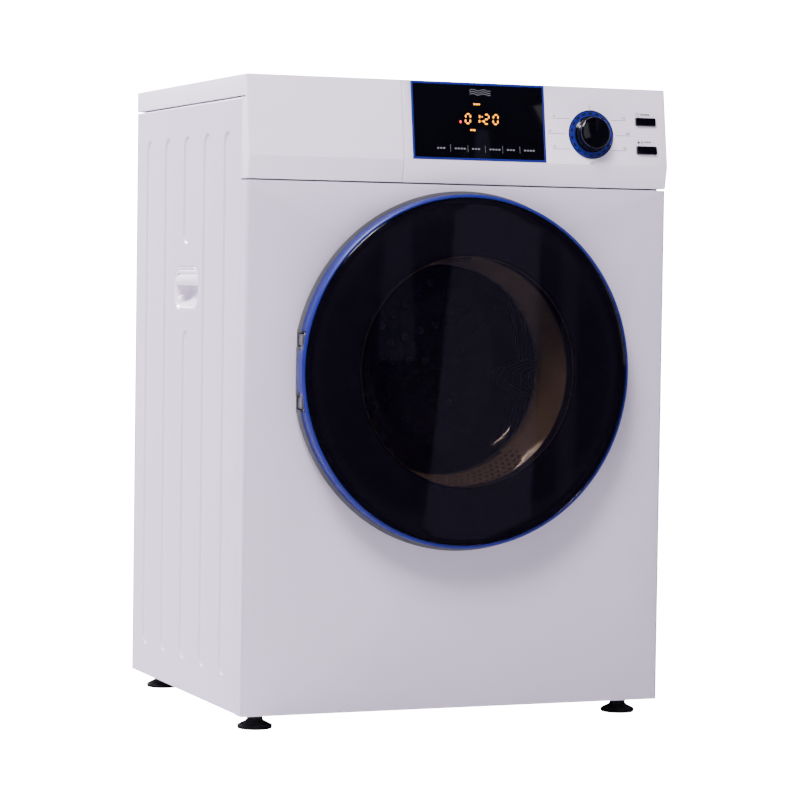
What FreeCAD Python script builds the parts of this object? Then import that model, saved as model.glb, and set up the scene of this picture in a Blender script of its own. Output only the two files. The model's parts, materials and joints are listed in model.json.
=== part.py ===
import FreeCAD, Part
import math
import os
import re
import Sketcher
from FreeCAD import Placement, Rotation, Vector

# Vented front-loading clothes dryer, in millimetres.
# +X is right and +Y is back, seen from the front; +Z is up.
# The origin is on the floor, under the middle of the whole machine.

doc = FreeCAD.newDocument("ClothesDryer")

# ---------------------------------------------------------------- driving dimensions

SIZES = [
    ("cabinet_width", 595, "cabinet, side to side"),
    ("cabinet_height", 823.3, "cabinet bottom to worktop"),
    ("cabinet_depth", 484.5, "front panel to back panel"),
    ("foot_height", 22, "floor to cabinet bottom"),
    ("duct_reach", 33, "exhaust collar behind the cabinet"),
    ("sheet", 1, "steel sheet thickness"),
    ("play", 0.3, "gap between pieces that move past each other"),
    ("shaft_play", 0.05, "radial gap of a shaft in its bush"),
    ("lid_thick", 27.2, "worktop frame height"),
    ("lid_gap", 2, "shadow gap under the worktop"),
    ("lid_overhang", 7, "worktop past the cabinet back"),
    ("lid_rim", 24, "worktop frame rim width"),
    ("board_thick", 12, "worktop board thickness"),
    ("return_flange", 24, "front panel side flange depth"),
    ("panel_flange", 14, "inward flanges of the side panels"),
    ("rib_width", 34, "pressed rib width"),
    ("rib_pitch", 85.7, "pressed rib pitch"),
    ("rib_first", 80, "first rib behind the front panel"),
    ("rib_depth", 2, "pressed rib depth"),
    ("rib_low", 43, "rib bottom above the cabinet bottom"),
    ("rib_high", 753.5, "rib top above the cabinet bottom"),
    ("rib_break_low", 491, "middle rib stops below the grip"),
    ("rib_break_high", 607, "middle rib starts above the grip"),
    ("grip_height", 548.5, "hand grip centre above the cabinet bottom"),
    ("grip_length", 102, "hand grip flange length"),
    ("grip_tall", 57, "hand grip flange height"),
    ("grip_deep", 30, "hand grip pocket depth"),
    ("wall", 2.5, "moulded plastic wall"),
    ("fascia_lean", 14.5, "fascia top set back from its crease"),
    ("fascia_proud", 6, "fascia crease in front of the front panel"),
    ("fascia_face", 103.9, "fascia face height"),
    ("fascia_chin", 29.4, "height of the bevel under the crease"),
    ("fascia_seam", 85, "seam between blank and control piece, left of centre"),
    ("seam_gap", 0.6, "visible gap between neighbouring panels"),
    ("display_left", 72.5, "display left edge, left of centre"),
    ("display_wide", 190.5, "display width"),
    ("display_tall", 103, "display height"),
    ("display_rim", 3, "display rim width"),
    ("display_thick", 2.4, "display lens thickness"),
    ("knob_across", 184.5, "knob centre, right of centre"),
    ("knob_down", 64, "knob centre below the fascia top"),
    ("dial_radius", 33, "dial ring radius"),
    ("knob_base_radius", 28, "knob skirt radius"),
    ("knob_radius", 23, "knob front radius"),
    ("knob_proud", 20, "knob height over the fascia"),
    ("knob_shaft", 3, "encoder shaft radius"),
    ("button_left", 251.5, "button left edge, right of centre"),
    ("button_wide", 29.5, "button width"),
    ("button_tall", 10.8, "button height"),
    ("button_travel", 2, "button travel"),
    ("button_left_out", 1, "button height over the fascia when pressed"),
    ("power_down", 44.5, "power button below the fascia top"),
    ("start_down", 83, "start button below the fascia top"),
    ("door_height", 444.3, "door centre above the cabinet bottom"),
    ("door_proud", 37.5, "door glass in front of the front panel"),
    ("glass_radius", 227, "door glass radius"),
    ("glass_thick", 4, "door glass thickness"),
    ("glass_dome", 3, "door glass bulge"),
    ("ring_radius", 231.3, "door ring radius"),
    ("ring_wall", 4, "door ring wall"),
    ("ring_front", 32, "door ring front edge, in front of the panel"),
    ("ring_back", 8, "door ring back edge, in front of the panel"),
    ("ring_gap", 3, "dark gap between the door ring and the back cover"),
    ("cover_back", 5.5, "door back cover, in front of the panel"),
    ("rim_proud", 4.5, "back cover rim outside the door ring"),
    ("window_radius", 150, "door window radius"),
    ("bowl_radius", 148, "glass bowl radius at its flange"),
    ("bowl_end_radius", 118, "glass bowl radius at its end"),
    ("bowl_depth", 38, "glass bowl depth behind the front panel"),
    ("bowl_dome", 4, "glass bowl end bulge"),
    ("hinge_across", 222, "hinge axis, left of centre"),
    ("hinge_out", 20, "hinge axis in front of the panel"),
    ("hinge_spread", 81, "distance between the hinge arms"),
    ("hinge_arm", 14.5, "hinge arm height"),
    ("hinge_half", 4, "hinge arm half width"),
    ("knuckle_radius", 7, "hinge knuckle radius"),
    ("pin_radius", 3, "hinge pin radius"),
    ("hinge_plate", 2.4, "hinge base plate thickness"),
    ("strike_across", 214, "door strike, right of centre"),
    ("port_front_radius", 158, "port funnel radius at the front"),
    ("port_radius", 140, "port radius at the drum"),
    ("port_cone", 50, "port funnel cone depth"),
    ("port_depth", 66, "port funnel whole depth"),
    ("port_flange", 204, "port funnel flange radius"),
    ("grille_half", 45, "half angle of the lint grille, from straight down"),
    ("filter_wide", 170, "lint filter width"),
    ("filter_thick", 10, "lint filter thickness"),
    ("filter_low", 236, "lint filter bottom above the floor"),
    ("drum_radius", 275, "drum radius"),
    ("drum_start", 74, "drum front behind the front panel"),
    ("drum_length", 363, "drum length"),
    ("drum_lip", 25, "drum front wall, from the drum's outside in to its mouth"),
    ("lifter_height", 45, "lifter height"),
    ("lifter_count", 3, "lifters round the drum"),
    ("shaft_radius", 10, "drum shaft radius"),
    ("roller_radius", 30, "drum roller radius"),
    ("roller_wide", 20, "drum roller width"),
    ("roller_angle", 40, "drum roller, from straight down"),
    ("axle_radius", 5, "roller axle radius"),
    ("motor_across", 110, "motor shaft, right of centre"),
    ("motor_height", 88, "motor shaft above the cabinet bottom"),
    ("motor_radius", 62, "motor housing radius"),
    ("motor_start", 220, "motor housing front, behind the front panel"),
    ("motor_length", 105, "motor housing length"),
    ("motor_shaft_radius", 6, "motor shaft radius"),
    ("pulley_radius", 11, "motor pulley radius"),
    ("idler_radius", 25, "idler pulley radius"),
    ("idler_across", 40, "idler pulley, right of centre"),
    ("idler_height", 70, "idler pulley above the cabinet bottom"),
    ("idler_arm_length", 70, "idler arm pivot to pulley"),
    ("belt_wide", 9, "belt width"),
    ("belt_thick", 2, "belt thickness"),
    ("belt_back", 345, "belt centre behind the front panel"),
    ("blower_radius", 62, "blower wheel radius"),
    ("blower_wide", 36, "blower wheel width"),
    ("blower_blades", 24, "blower wheel blades"),
    ("blower_case", 84, "blower housing radius"),
    ("duct_size", 104, "exhaust duct outside height and width"),
    ("duct_across", 150, "exhaust collar, left of centre"),
    ("collar_radius", 50, "exhaust collar radius"),
    ("cover_wide", 400, "back duct cover width"),
    ("cover_tall", 440, "back duct cover height"),
    ("cover_proud", 24, "back duct cover behind the back panel"),
    ("foot_radius", 23, "foot pad radius"),
    ("foot_pad", 11, "foot pad thickness"),
    ("foot_inset", 35.5, "foot centre from the cabinet side"),
    ("foot_setback", 48, "front foot behind the front panel"),
    ("foot_rear", 450, "rear foot behind the front panel"),
    ("stud_radius", 5, "foot stud radius"),
    ("nut_height", 6, "foot hexagon height"),
]

# Places worked out from the sizes above, as formulas in a second sheet.
PLACES = [
    ("side", "cabinet_width / 2"),
    ("drum_mouth", "drum_radius - drum_lip"),
    ("front", "0 - (door_proud + cabinet_depth + duct_reach) / 2 + door_proud"),
    ("back", "front + cabinet_depth"),
    ("bottom", "foot_height"),
    ("top", "foot_height + cabinet_height"),
    ("lid_bottom", "top - lid_thick"),
    ("panel_top", "lid_bottom - lid_gap"),
    ("crease", "top - fascia_face"),
    ("fascia_bottom", "crease - fascia_chin"),
    ("crease_front", "front - fascia_proud"),
    ("fascia_top_front", "crease_front + fascia_lean"),
    ("lean_root", "sqrt(fascia_lean * fascia_lean + fascia_face * fascia_face)"),
    ("lean_sin", "fascia_lean / lean_root"),
    ("lean_cos", "fascia_face / lean_root"),
    ("door_middle", "bottom + door_height"),
    ("hinge_x", "0 - hinge_across"),
    ("hinge_y", "front - hinge_out"),
    ("arm_low", "door_middle - hinge_spread / 2"),
    ("arm_high", "door_middle + hinge_spread / 2"),
    ("filter_back", "front + port_depth - 3"),
    ("drum_front", "front + drum_start"),
    ("drum_back", "drum_front + drum_length"),
    ("bulkhead_front", "front + port_depth + 2"),
    ("motor_z", "bottom + motor_height"),
    ("motor_front", "front + motor_start"),
    ("motor_back", "motor_front + motor_length"),
    ("blower_front", "bulkhead_front + 4"),
    ("blower_back", "blower_front + blower_wide + 20"),
    ("belt_front", "front + belt_back - belt_wide / 2"),
    ("idler_z", "bottom + idler_height"),
    ("idler_pivot_x", "idler_across - idler_arm_length * cos(30 deg)"),
    ("idler_pivot_z", "idler_z - idler_arm_length * sin(30 deg)"),
    ("duct_x", "0 - duct_across"),
    ("rear_plate", "back - sheet"),
    ("foot_x", "side - foot_inset"),
]


def full(text):
    """Write a formula's plain names as references to the two sheets."""
    def swap(match):
        word = match.group(0)
        if word in SIZE_NAMES:
            return "sizes." + word
        if word in PLACE_NAMES:
            return "places." + word
        return word
    return re.sub(r"[a-z_]+", swap, str(text))


SIZE_NAMES = {name for name, number, meaning in SIZES}
PLACE_NAMES = {name for name, formula in PLACES}

sizes = doc.addObject("Spreadsheet::Sheet", "sizes")
for row, (name, number, meaning) in enumerate(SIZES, start=1):
    sizes.set(f"A{row}", meaning)
    sizes.set(f"B{row}", str(number))
    sizes.setAlias(f"B{row}", name)
doc.recompute()

places = doc.addObject("Spreadsheet::Sheet", "places")
for row, (name, formula) in enumerate(PLACES, start=1):
    places.set(f"A{row}", formula)
    places.set(f"B{row}", "=" + full(formula))
    places.setAlias(f"B{row}", name)
doc.recompute()


def now(text):
    """Number that a formula gives with the sizes as they are."""
    return float(sizes.evalExpression(full(text)))


# ---------------------------------------------------------------- building helpers

finished = []
TURN = {
    "X": Rotation(Vector(0, 1, 0), 90),
    "Y": Rotation(Vector(1, 0, 0), -90),
    "Z": Rotation(),
}


def bind(obj, **formulas):
    """Bind properties of an object to formulas."""
    for name, formula in formulas.items():
        obj.setExpression(name, full(formula))


def move(obj, x, y, z):
    """Bind the place of an object."""
    for axis, formula in zip("xyz", (x, y, z)):
        obj.setExpression("Placement.Base." + axis, full(formula))
    return obj


def box(low, high):
    """Box between two corners, each given as three formulas."""
    obj = doc.addObject("Part::Box", "block")
    spans = [f"({b}) - ({a})" for a, b in zip(low, high)]
    bind(obj, Length=spans[0], Width=spans[1], Height=spans[2])
    return move(obj, *low)


def rod(start, radius, length, axis="Z"):
    """Cylinder from a start point along a positive axis."""
    obj = doc.addObject("Part::Cylinder", "rod")
    obj.Placement = Placement(Vector(), TURN[axis])
    bind(obj, Radius=radius, Height=length)
    return move(obj, *start)


def join(*pieces):
    obj = doc.addObject("Part::MultiFuse", "join")
    obj.Shapes = list(pieces)
    return obj


def cut(base, *tools):
    obj = doc.addObject("Part::Cut", "cut")
    obj.Base = base
    obj.Tool = tools[0] if len(tools) == 1 else join(*tools)
    return obj


def group(*pieces):
    """Several separate solids in one node."""
    obj = doc.addObject("Part::Compound", "group")
    obj.Links = list(pieces)
    return obj


def tube(start, outer, inner, length, axis="Z"):
    return cut(rod(start, outer, length, axis), rod(start, inner, length, axis))


def sketch_on(body, plane):
    """Sketch on one of a body's own origin planes."""
    sketch = body.newObject("Sketcher::SketchObject", "outline")
    support = [item for item in body.Origin.OriginFeatures if item.Role == plane][0]
    sketch.AttachmentSupport = [(support, "")]
    sketch.MapMode = "FlatFace"
    return sketch


def pin_down(sketch, kind, *target, formula):
    """Constraint whose value follows a formula."""
    index = sketch.addConstraint(Sketcher.Constraint(kind, *target, now(formula)))
    sketch.setExpression(f"Constraints[{index}]", full(formula))


def draw_polygon(sketch, points):
    """Closed outline through points given as pairs of formulas."""
    spots = [Vector(now(a), now(b), 0) for a, b in points]
    count = len(spots)
    edges = []
    for i in range(count):
        line = Part.LineSegment(spots[i], spots[(i + 1) % count])
        edges.append(sketch.addGeometry(line, False))
    for i in range(count):
        nxt = edges[(i + 1) % count]
        sketch.addConstraint(Sketcher.Constraint("Coincident", edges[i], 2, nxt, 1))
    for edge, (a, b) in zip(edges, points):
        pin_down(sketch, "DistanceX", -1, 1, edge, 1, formula=a)
        pin_down(sketch, "DistanceY", -1, 1, edge, 1, formula=b)


def draw_circle(sketch, a, b, radius):
    circle = Part.Circle(Vector(now(a), now(b), 0), Vector(0, 0, 1), now(radius))
    index = sketch.addGeometry(circle, False)
    pin_down(sketch, "DistanceX", -1, 1, index, 3, formula=a)
    pin_down(sketch, "DistanceY", -1, 1, index, 3, formula=b)
    pin_down(sketch, "Radius", index, formula=radius)


def draw_slot(sketch, a, low, high, radius):
    """Upright slot with round ends, centred on a."""
    x, bottom_end, top_end, half = now(a), now(low), now(high), now(radius)
    centres = (Vector(x, bottom_end + half, 0), Vector(x, top_end - half, 0))
    sides = [
        sketch.addGeometry(Part.LineSegment(
            Vector(x + half, bottom_end + half, 0), Vector(x + half, top_end - half, 0))),
        sketch.addGeometry(Part.LineSegment(
            Vector(x - half, top_end - half, 0), Vector(x - half, bottom_end + half, 0))),
    ]
    top_arc = sketch.addGeometry(Part.ArcOfCircle(
        Part.Circle(centres[1], Vector(0, 0, 1), half), 0, math.pi))
    bottom_arc = sketch.addGeometry(Part.ArcOfCircle(
        Part.Circle(centres[0], Vector(0, 0, 1), half), math.pi, 2 * math.pi))
    for first, first_end, second, second_end in (
            (sides[0], 2, top_arc, 1), (top_arc, 2, sides[1], 1),
            (sides[1], 2, bottom_arc, 1), (bottom_arc, 2, sides[0], 1)):
        tangent = Sketcher.Constraint("Tangent", first, first_end, second, second_end)
        sketch.addConstraint(tangent)
    sketch.addConstraint(Sketcher.Constraint("Vertical", sides[0]))
    pin_down(sketch, "DistanceX", -1, 1, top_arc, 3, formula=a)
    pin_down(sketch, "DistanceY", -1, 1, top_arc, 3, formula=f"({high}) - ({radius})")
    pin_down(sketch, "DistanceY", -1, 1, bottom_arc, 3, formula=f"({low}) + ({radius})")
    pin_down(sketch, "Radius", top_arc, formula=radius)


def new_body():
    return doc.addObject("PartDesign::Body", "piece")


def pad(body, plane, draw, length):
    """Pad an outline; draw fills the sketch."""
    sketch = sketch_on(body, plane)
    draw(sketch)
    feature = body.newObject("PartDesign::Pad", "pad")
    feature.Profile = sketch
    bind(feature, Length=length)
    return feature


def pocket(body, plane, draw, length, backwards=False):
    """Pocket an outline to a depth, and say so if nothing was cut."""
    doc.recompute()
    before = body.Shape.Volume
    sketch = sketch_on(body, plane)
    draw(sketch)
    feature = body.newObject("PartDesign::Pocket", "pocket")
    feature.Profile = sketch
    feature.Reversed = backwards
    bind(feature, Length=length)
    doc.recompute()
    if body.Shape.Volume > before - 1:
        raise RuntimeError("a pocket removed nothing")
    return feature


def extrude(plane, points, length, place=("0", "0", "0")):
    """Body padded from a polygon."""
    body = new_body()
    pad(body, plane, lambda sketch: draw_polygon(sketch, points), length)
    return move(body, *place)


def turned(points, place, axis="Y"):
    """Body turned from a profile of (along the axis, radius) pairs."""
    body = new_body()
    if axis == "Y":
        sketch = sketch_on(body, "YZ_Plane")
        draw_polygon(sketch, points)
    else:
        sketch = sketch_on(body, "XZ_Plane")
        draw_polygon(sketch, [(radius, along) for along, radius in points])
    feature = body.newObject("PartDesign::Revolution", "turn")
    feature.Profile = sketch
    feature.ReferenceAxis = (sketch, ["H_Axis" if axis == "Y" else "V_Axis"])
    feature.Angle = 360
    return move(body, *place)


def on_fascia(obj, across, down, out, facing=False):
    """Lay an object on the leaning fascia face; facing turns its Z outwards."""
    lean = "asin(lean_sin)"
    obj.Placement = Placement(Vector(), Rotation(Vector(1 if facing else -1, 0, 0), 8))
    turn = f"90 deg - {lean}" if facing else lean
    obj.setExpression("Placement.Rotation.Angle", full(turn))
    y = f"fascia_top_front - ({down}) * lean_sin - ({out}) * lean_cos"
    z = f"top - ({down}) * lean_cos + ({out}) * lean_sin"
    return move(obj, across, y, z)


def fascia_block(left, low, wide, tall, out, thick):
    """Block on the fascia face: low edge and front face are given from the face."""
    obj = doc.addObject("Part::Box", "block")
    bind(obj, Length=wide, Width=thick, Height=tall)
    return on_fascia(obj, left, low, out)


def finish(obj, label):
    obj.Label = label
    finished.append(obj)
    return obj


# ---------------------------------------------------------------- cabinet

def side_panel():
    """Left side: a flanged sheet with five pressed ribs and a hole for the hand grip."""
    body = new_body()
    y_low, y_high = "front + return_flange + seam_gap", "rear_plate"
    corners = [(y_low, "bottom"), (y_high, "bottom"), (y_high, "panel_top"), (y_low, "panel_top")]
    inner = [
        (f"{y_low} + sheet", "bottom + sheet"), (f"{y_high} - sheet", "bottom + sheet"),
        (f"{y_high} - sheet", "panel_top - sheet"), (f"{y_low} + sheet", "panel_top - sheet"),
    ]
    ribs = []
    for index in range(5):
        middle = f"front + rib_first + {index} * rib_pitch"
        if index == 2:
            ribs.append((middle, "bottom + rib_low", "bottom + rib_break_low"))
            ribs.append((middle, "bottom + rib_break_high", "bottom + rib_high"))
        else:
            ribs.append((middle, "bottom + rib_low", "bottom + rib_high"))

    def rim(sketch):
        draw_polygon(sketch, corners)
        draw_polygon(sketch, inner)

    def slots(sketch, grow):
        for middle, low, high in ribs:
            draw_slot(sketch, middle, f"{low} - {grow}", f"{high} + {grow}",
                      f"rib_width / 2 + {grow}")

    def grip_hole(sketch):
        middle = "front + rib_first + 2 * rib_pitch"
        half, tall = "(grip_length / 2 + play)", "(grip_tall / 2 + play)"
        height = "bottom + grip_height"
        draw_polygon(sketch, [
            (f"{middle} - {half}", f"{height} - {tall}"), (f"{middle} + {half}", f"{height} - {tall}"),
            (f"{middle} + {half}", f"{height} + {tall}"), (f"{middle} - {half}", f"{height} + {tall}"),
        ])

    pad(body, "YZ_Plane", lambda sketch: draw_polygon(sketch, corners), "sheet")
    pad(body, "YZ_Plane", rim, "panel_flange")
    pad(body, "YZ_Plane", lambda sketch: slots(sketch, "sheet"), "sheet + rib_depth")
    pocket(body, "YZ_Plane", lambda sketch: slots(sketch, "0"), "rib_depth", backwards=True)
    pocket(body, "YZ_Plane", grip_hole, "panel_flange", backwards=True)
    return move(body, "0 - side", "0", "0")


def mirrored(source):
    obj = doc.addObject("Part::Mirroring", "mirror")
    obj.Source = source
    obj.Normal = Vector(1, 0, 0)
    return obj


def grip_cup():
    """Moulded finger cup of the left side, flush with the sheet, hollow up behind a lip."""
    middle, height = "front + rib_first + 2 * rib_pitch", "bottom + grip_height"

    def plate(x_low, x_high, grow):
        half, tall = f"(grip_length / 2 + {grow})", f"(grip_tall / 2 + {grow})"
        return box((x_low, f"{middle} - {half}", f"{height} - {tall}"),
                   (x_high, f"{middle} + {half}", f"{height} + {tall}"))

    def well(x_low, x_high, below, above, grow):
        half = f"(grip_length / 2 - 11 + {grow})"
        return box((x_low, f"{middle} - {half}", f"{height} - {below}"),
                   (x_high, f"{middle} + {half}", f"{height} + {above}"))

    shell = join(
        plate("0 - side", "sheet - side", "0"),
        plate("sheet - side", "sheet + wall - side", "4"),
        well("sheet - side", "grip_deep - side", "grip_tall / 2 - 8 + wall", "grip_tall / 2 - 4", "wall"),
    )
    mouth = well("0 - side - 1", "grip_deep - wall - side", "grip_tall / 2 - 8", "grip_tall / 6", "0")
    hollow = well("sheet + wall - side", "grip_deep - wall - side",
                  "grip_tall / 2 - 8", "grip_tall / 2 - 4 - wall", "0")
    return cut(shell, mouth, hollow)


def front_panel():
    """Front sheet with bent side, top and bottom edges and a round hole for the port."""
    outer = box(("0 - side", "front", "bottom"),
                ("side", "front + return_flange", "fascia_bottom - seam_gap"))
    inner = box(("sheet - side", "front + sheet", "bottom + sheet"),
                ("side - sheet", "front + return_flange + 1", "fascia_bottom - seam_gap - sheet"))
    hole = rod(("0", "front - 1", "door_middle"), "port_flange - 12", "sheet + 2", "Y")
    slot = box(("strike_across - 6", "front - 1", "door_middle - 10"),
               ("strike_across + 6", "front + sheet + 1", "door_middle + 10"))
    return cut(outer, inner, hole, slot)


def rear_panel():
    """Back sheet with the exhaust hole and a ring of hot-air holes."""
    body = new_body()
    pad(body, "XZ_Plane", lambda sketch: draw_polygon(sketch, [
        ("0 - side", "bottom"), ("side", "bottom"), ("side", "panel_top"), ("0 - side", "panel_top"),
    ]), "sheet")

    def exhaust(sketch):
        draw_circle(sketch, "duct_x", "motor_z", "collar_radius - 2")

    def hot_holes(sketch):
        for index in range(12):
            angle = f"{index} * 30 deg"
            draw_circle(sketch, f"130 * cos({angle})", f"door_middle + 130 * sin({angle})", "14")

    pocket(body, "XZ_Plane", exhaust, "sheet", backwards=True)
    pocket(body, "XZ_Plane", hot_holes, "sheet", backwards=True)
    return move(body, "0", "back", "0")


def base_pan():
    """Pressed floor tray that carries the motor, the ducts and the feet."""
    reach = "side - sheet - play"
    outer = box((f"0 - ({reach})", "front + return_flange + 2", "bottom + sheet"),
                (reach, "rear_plate - sheet - play", "bottom + sheet + 25"))
    inner = box((f"1.5 - ({reach})", "front + return_flange + 3.5", "bottom + sheet + 1.5"),
                (f"{reach} - 1.5", "rear_plate - sheet - play - 1.5", "bottom + sheet + 26"))
    holes = [rod((x, y, "bottom - 1"), "stud_radius + shaft_play", "sheet + 4")
             for x, y in foot_places()]
    return cut(outer, inner, *holes)


def foot_places():
    spots = []
    for x in ("0 - foot_x", "foot_x"):
        for y in ("front + foot_setback", "front + foot_rear"):
            spots.append((x, y))
    return spots


def worktop_frame():
    """Moulded rim of the worktop, with a ledge for the board and a hollow underside."""
    y_low, y_high = "fascia_top_front + wall + seam_gap", "back + lid_overhang"
    outer = box(("0 - side", y_low, "lid_bottom"), ("side", y_high, "top"))
    seat = box(("lid_rim - side", f"{y_low} + lid_rim", "top - board_thick"),
               ("side - lid_rim", f"{y_high} - lid_rim", "top + 1"))
    hollow = box(("lid_rim + 12 - side", f"{y_low} + lid_rim + 12", "lid_bottom - 1"),
                 ("side - lid_rim - 12", f"{y_high} - lid_rim - 12", "top"))
    return cut(outer, seat, hollow)


def worktop_board():
    y_low, y_high = "fascia_top_front + wall + seam_gap", "back + lid_overhang"
    return box(("lid_rim - side", f"{y_low} + lid_rim", "top - board_thick"),
               ("side - lid_rim", f"{y_high} - lid_rim", "top"))


left_panel = finish(side_panel(), "left_side_panel")
finish(mirrored(left_panel), "right_side_panel")
left_grip = grip_cup()
finish(group(left_grip, mirrored(left_grip)), "hand_grips")
finish(front_panel(), "front_panel")
finish(rear_panel(), "rear_panel")
finish(base_pan(), "base_pan")
finish(worktop_frame(), "worktop_frame")
finish(worktop_board(), "worktop_board")


# ---------------------------------------------------------------- fascia and controls

def fascia_piece(left, right, capped_left, capped_right):
    """Moulded fascia shell between two X places, with an end cap at the cabinet corner."""
    outer = [("fascia_top_front", "top"), ("crease_front", "crease"), ("front", "fascia_bottom")]
    inner = [("front + wall", "fascia_bottom"), ("crease_front + wall", "crease"),
             ("fascia_top_front + wall", "top")]
    edge = "front + return_flange"
    cap = outer + [(edge, "fascia_bottom"), (edge, "panel_top"),
                   ("fascia_top_front + wall", "panel_top"), ("fascia_top_front + wall", "top")]
    pieces = [extrude("YZ_Plane", outer + inner, f"({right}) - ({left})", (left, "0", "0"))]
    if capped_left:
        pieces.append(extrude("YZ_Plane", cap, "wall", (left, "0", "0")))
    if capped_right:
        pieces.append(extrude("YZ_Plane", cap, "wall", (f"{right} - wall", "0", "0")))
    return join(*pieces)


def fascia_panel():
    """Control piece of the fascia, with a seat for the display and holes for the controls."""
    shell = fascia_piece("0 - fascia_seam", "side", False, True)
    seat = fascia_block("0 - display_left", "display_tall + 0.7", "display_wide", "display_tall",
                        "1", "1 + 1.6")
    shaft_hole = rod(("0", "0", "0"), "knob_shaft + 1.5 + play", "12")
    on_fascia(shaft_hole, "knob_across", "knob_down", "0 - 6", facing=True)
    button_holes = []
    for down in ("power_down", "start_down"):
        button_holes.append(fascia_block(
            "button_left - play", f"{down} + button_tall / 2 + play",
            "button_wide + 2 * play", "button_tall + 2 * play", "2", "8"))
    return cut(shell, seat, shaft_hole, *button_holes)


def display_bezel():
    outer = fascia_block("0 - display_left", "display_tall + 0.7", "display_wide", "display_tall",
                         "0.8", "2.4")
    inner = fascia_block("display_rim - display_left", "display_tall + 0.7 - display_rim",
                         "display_wide - 2 * display_rim", "display_tall - 2 * display_rim",
                         "2", "8")
    return cut(outer, inner)


def display_lens():
    return fascia_block("display_rim - display_left", "display_tall + 0.7 - display_rim",
                        "display_wide - 2 * display_rim", "display_tall - 2 * display_rim",
                        "display_thick - 1.6", "display_thick")


def knob_dial_ring():
    ring = cut(rod(("0", "0", "0"), "dial_radius", "1.2"),
               rod(("0", "0", "0"), "knob_base_radius + 0.8", "1.2"))
    return on_fascia(ring, "knob_across", "knob_down", "0", facing=True)


def program_knob():
    """Knob with a skirt, a tapered grip and a stem that goes into the encoder."""
    points = [
        ("0 - 14", "0"), ("0 - 14", "knob_shaft"), ("1.6", "knob_shaft"),
        ("1.6", "knob_base_radius - 1"), ("2.6", "knob_base_radius"), ("5.5", "knob_base_radius"),
        ("7", "knob_radius + 2.5"), ("knob_proud - 2", "knob_radius + 0.8"),
        ("knob_proud", "knob_radius - 1"), ("knob_proud", "0"),
    ]
    return on_fascia(turned(points, ("0", "0", "0"), axis="Z"), "knob_across", "knob_down", "0",
                     facing=True)


def rotary_encoder():
    """Encoder behind the fascia: its bush stands in the fascia hole and holds the knob stem."""
    points = [
        ("0 - 16", "knob_shaft + shaft_play"), ("0 - 16", "10"), ("0 - 4", "10"),
        ("0 - 4", "knob_shaft + 1.5"), ("1", "knob_shaft + 1.5"), ("1", "knob_shaft + shaft_play"),
    ]
    return on_fascia(turned(points, ("0", "0", "0"), axis="Z"), "knob_across", "knob_down", "0",
                     facing=True)


def push_button(down):
    """Button cap with a narrower stem towards its switch."""
    cap = fascia_block("button_left", f"{down} + button_tall / 2", "button_wide", "button_tall",
                       "button_travel + button_left_out", "button_travel + button_left_out + 5")
    stem = fascia_block("button_left + button_wide / 2 - 3", f"{down} + 3", "6", "6",
                        "0 - 4", "9")
    return join(cap, stem)


def control_board():
    """Circuit board across the fascia, with its digit module, a relay and a capacitor."""
    board = fascia_block("0 - display_left", "95", "button_left + button_wide + display_left", "60",
                         "0 - 19", "1.6")
    relay = fascia_block("20", "60", "40", "30", "0 - 20", "18")
    capacitor = fascia_block("110", "75", "30", "38", "0 - 20", "22")
    digits = fascia_block("0 - 15", "60", "80", "26", "0 - 5", "15")
    return join(board, relay, capacitor, digits)


finish(fascia_panel(), "fascia_panel")
finish(fascia_piece("0 - side", "0 - fascia_seam - seam_gap", True, False), "fascia_blank")
finish(display_bezel(), "display_bezel")
finish(display_lens(), "display_lens")
finish(knob_dial_ring(), "knob_dial_ring")
finish(program_knob(), "program_knob")
finish(rotary_encoder(), "rotary_encoder")
finish(push_button("power_down"), "power_button")
finish(push_button("start_down"), "start_button")
finish(control_board(), "control_board")


# ---------------------------------------------------------------- door and its hinge

DOOR = ("0", "front", "door_middle")


def hinge_gap(x_low, x_high, y_low, y_high, spare):
    """Two boxes round the hinge arms."""
    gaps = []
    for height in ("arm_low", "arm_high"):
        gaps.append(box((f"hinge_x - {x_low}", y_low, f"{height} - hinge_arm / 2 - {spare}"),
                        (f"hinge_x + {x_high}", y_high, f"{height} + hinge_arm / 2 + {spare}")))
    return gaps


def door_outer_glass():
    """Round glass front, slightly domed, of even thickness."""
    curve = "((glass_radius * glass_radius + glass_dome * glass_dome) / (2 * glass_dome))"
    plug = rod(("0", "front - door_proud", "door_middle"), "glass_radius",
               "glass_dome + glass_thick + 1", "Y")
    outside = doc.addObject("Part::Sphere", "dome")
    inside = doc.addObject("Part::Sphere", "dome")
    for ball, radius in ((outside, curve), (inside, f"{curve} - glass_thick")):
        bind(ball, Radius=radius)
        move(ball, "0", f"front - door_proud + {curve}", "door_middle")
    lens = doc.addObject("Part::MultiCommon", "lens")
    lens.Shapes = [plug, outside]
    return cut(lens, inside)


def door_ring():
    """Coloured trim ring round the glass, notched for the hinge arms."""
    points = [
        ("0 - ring_back - ring_gap", "ring_radius - ring_wall - 1.3"),
        ("0 - ring_back - ring_gap", "ring_radius"), ("2 - ring_front", "ring_radius"), ("0 - ring_front", "ring_radius - 2"),
        ("0 - ring_front", "glass_radius + play"), ("0 - 24", "glass_radius + play"),
        ("0 - 24", "ring_radius - ring_wall - 1.3"),
    ]
    leaf_room = box(("hinge_x - knuckle_radius - 0.6", "front - 28.3", "arm_low - hinge_arm / 2 - 4"),
                    ("hinge_x + 12", "front", "arm_high + hinge_arm / 2 + 4"))
    return cut(turned(points, DOOR), leaf_room, *hinge_gap("20", "12", "front - 28.3", "front", "2"))


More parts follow.
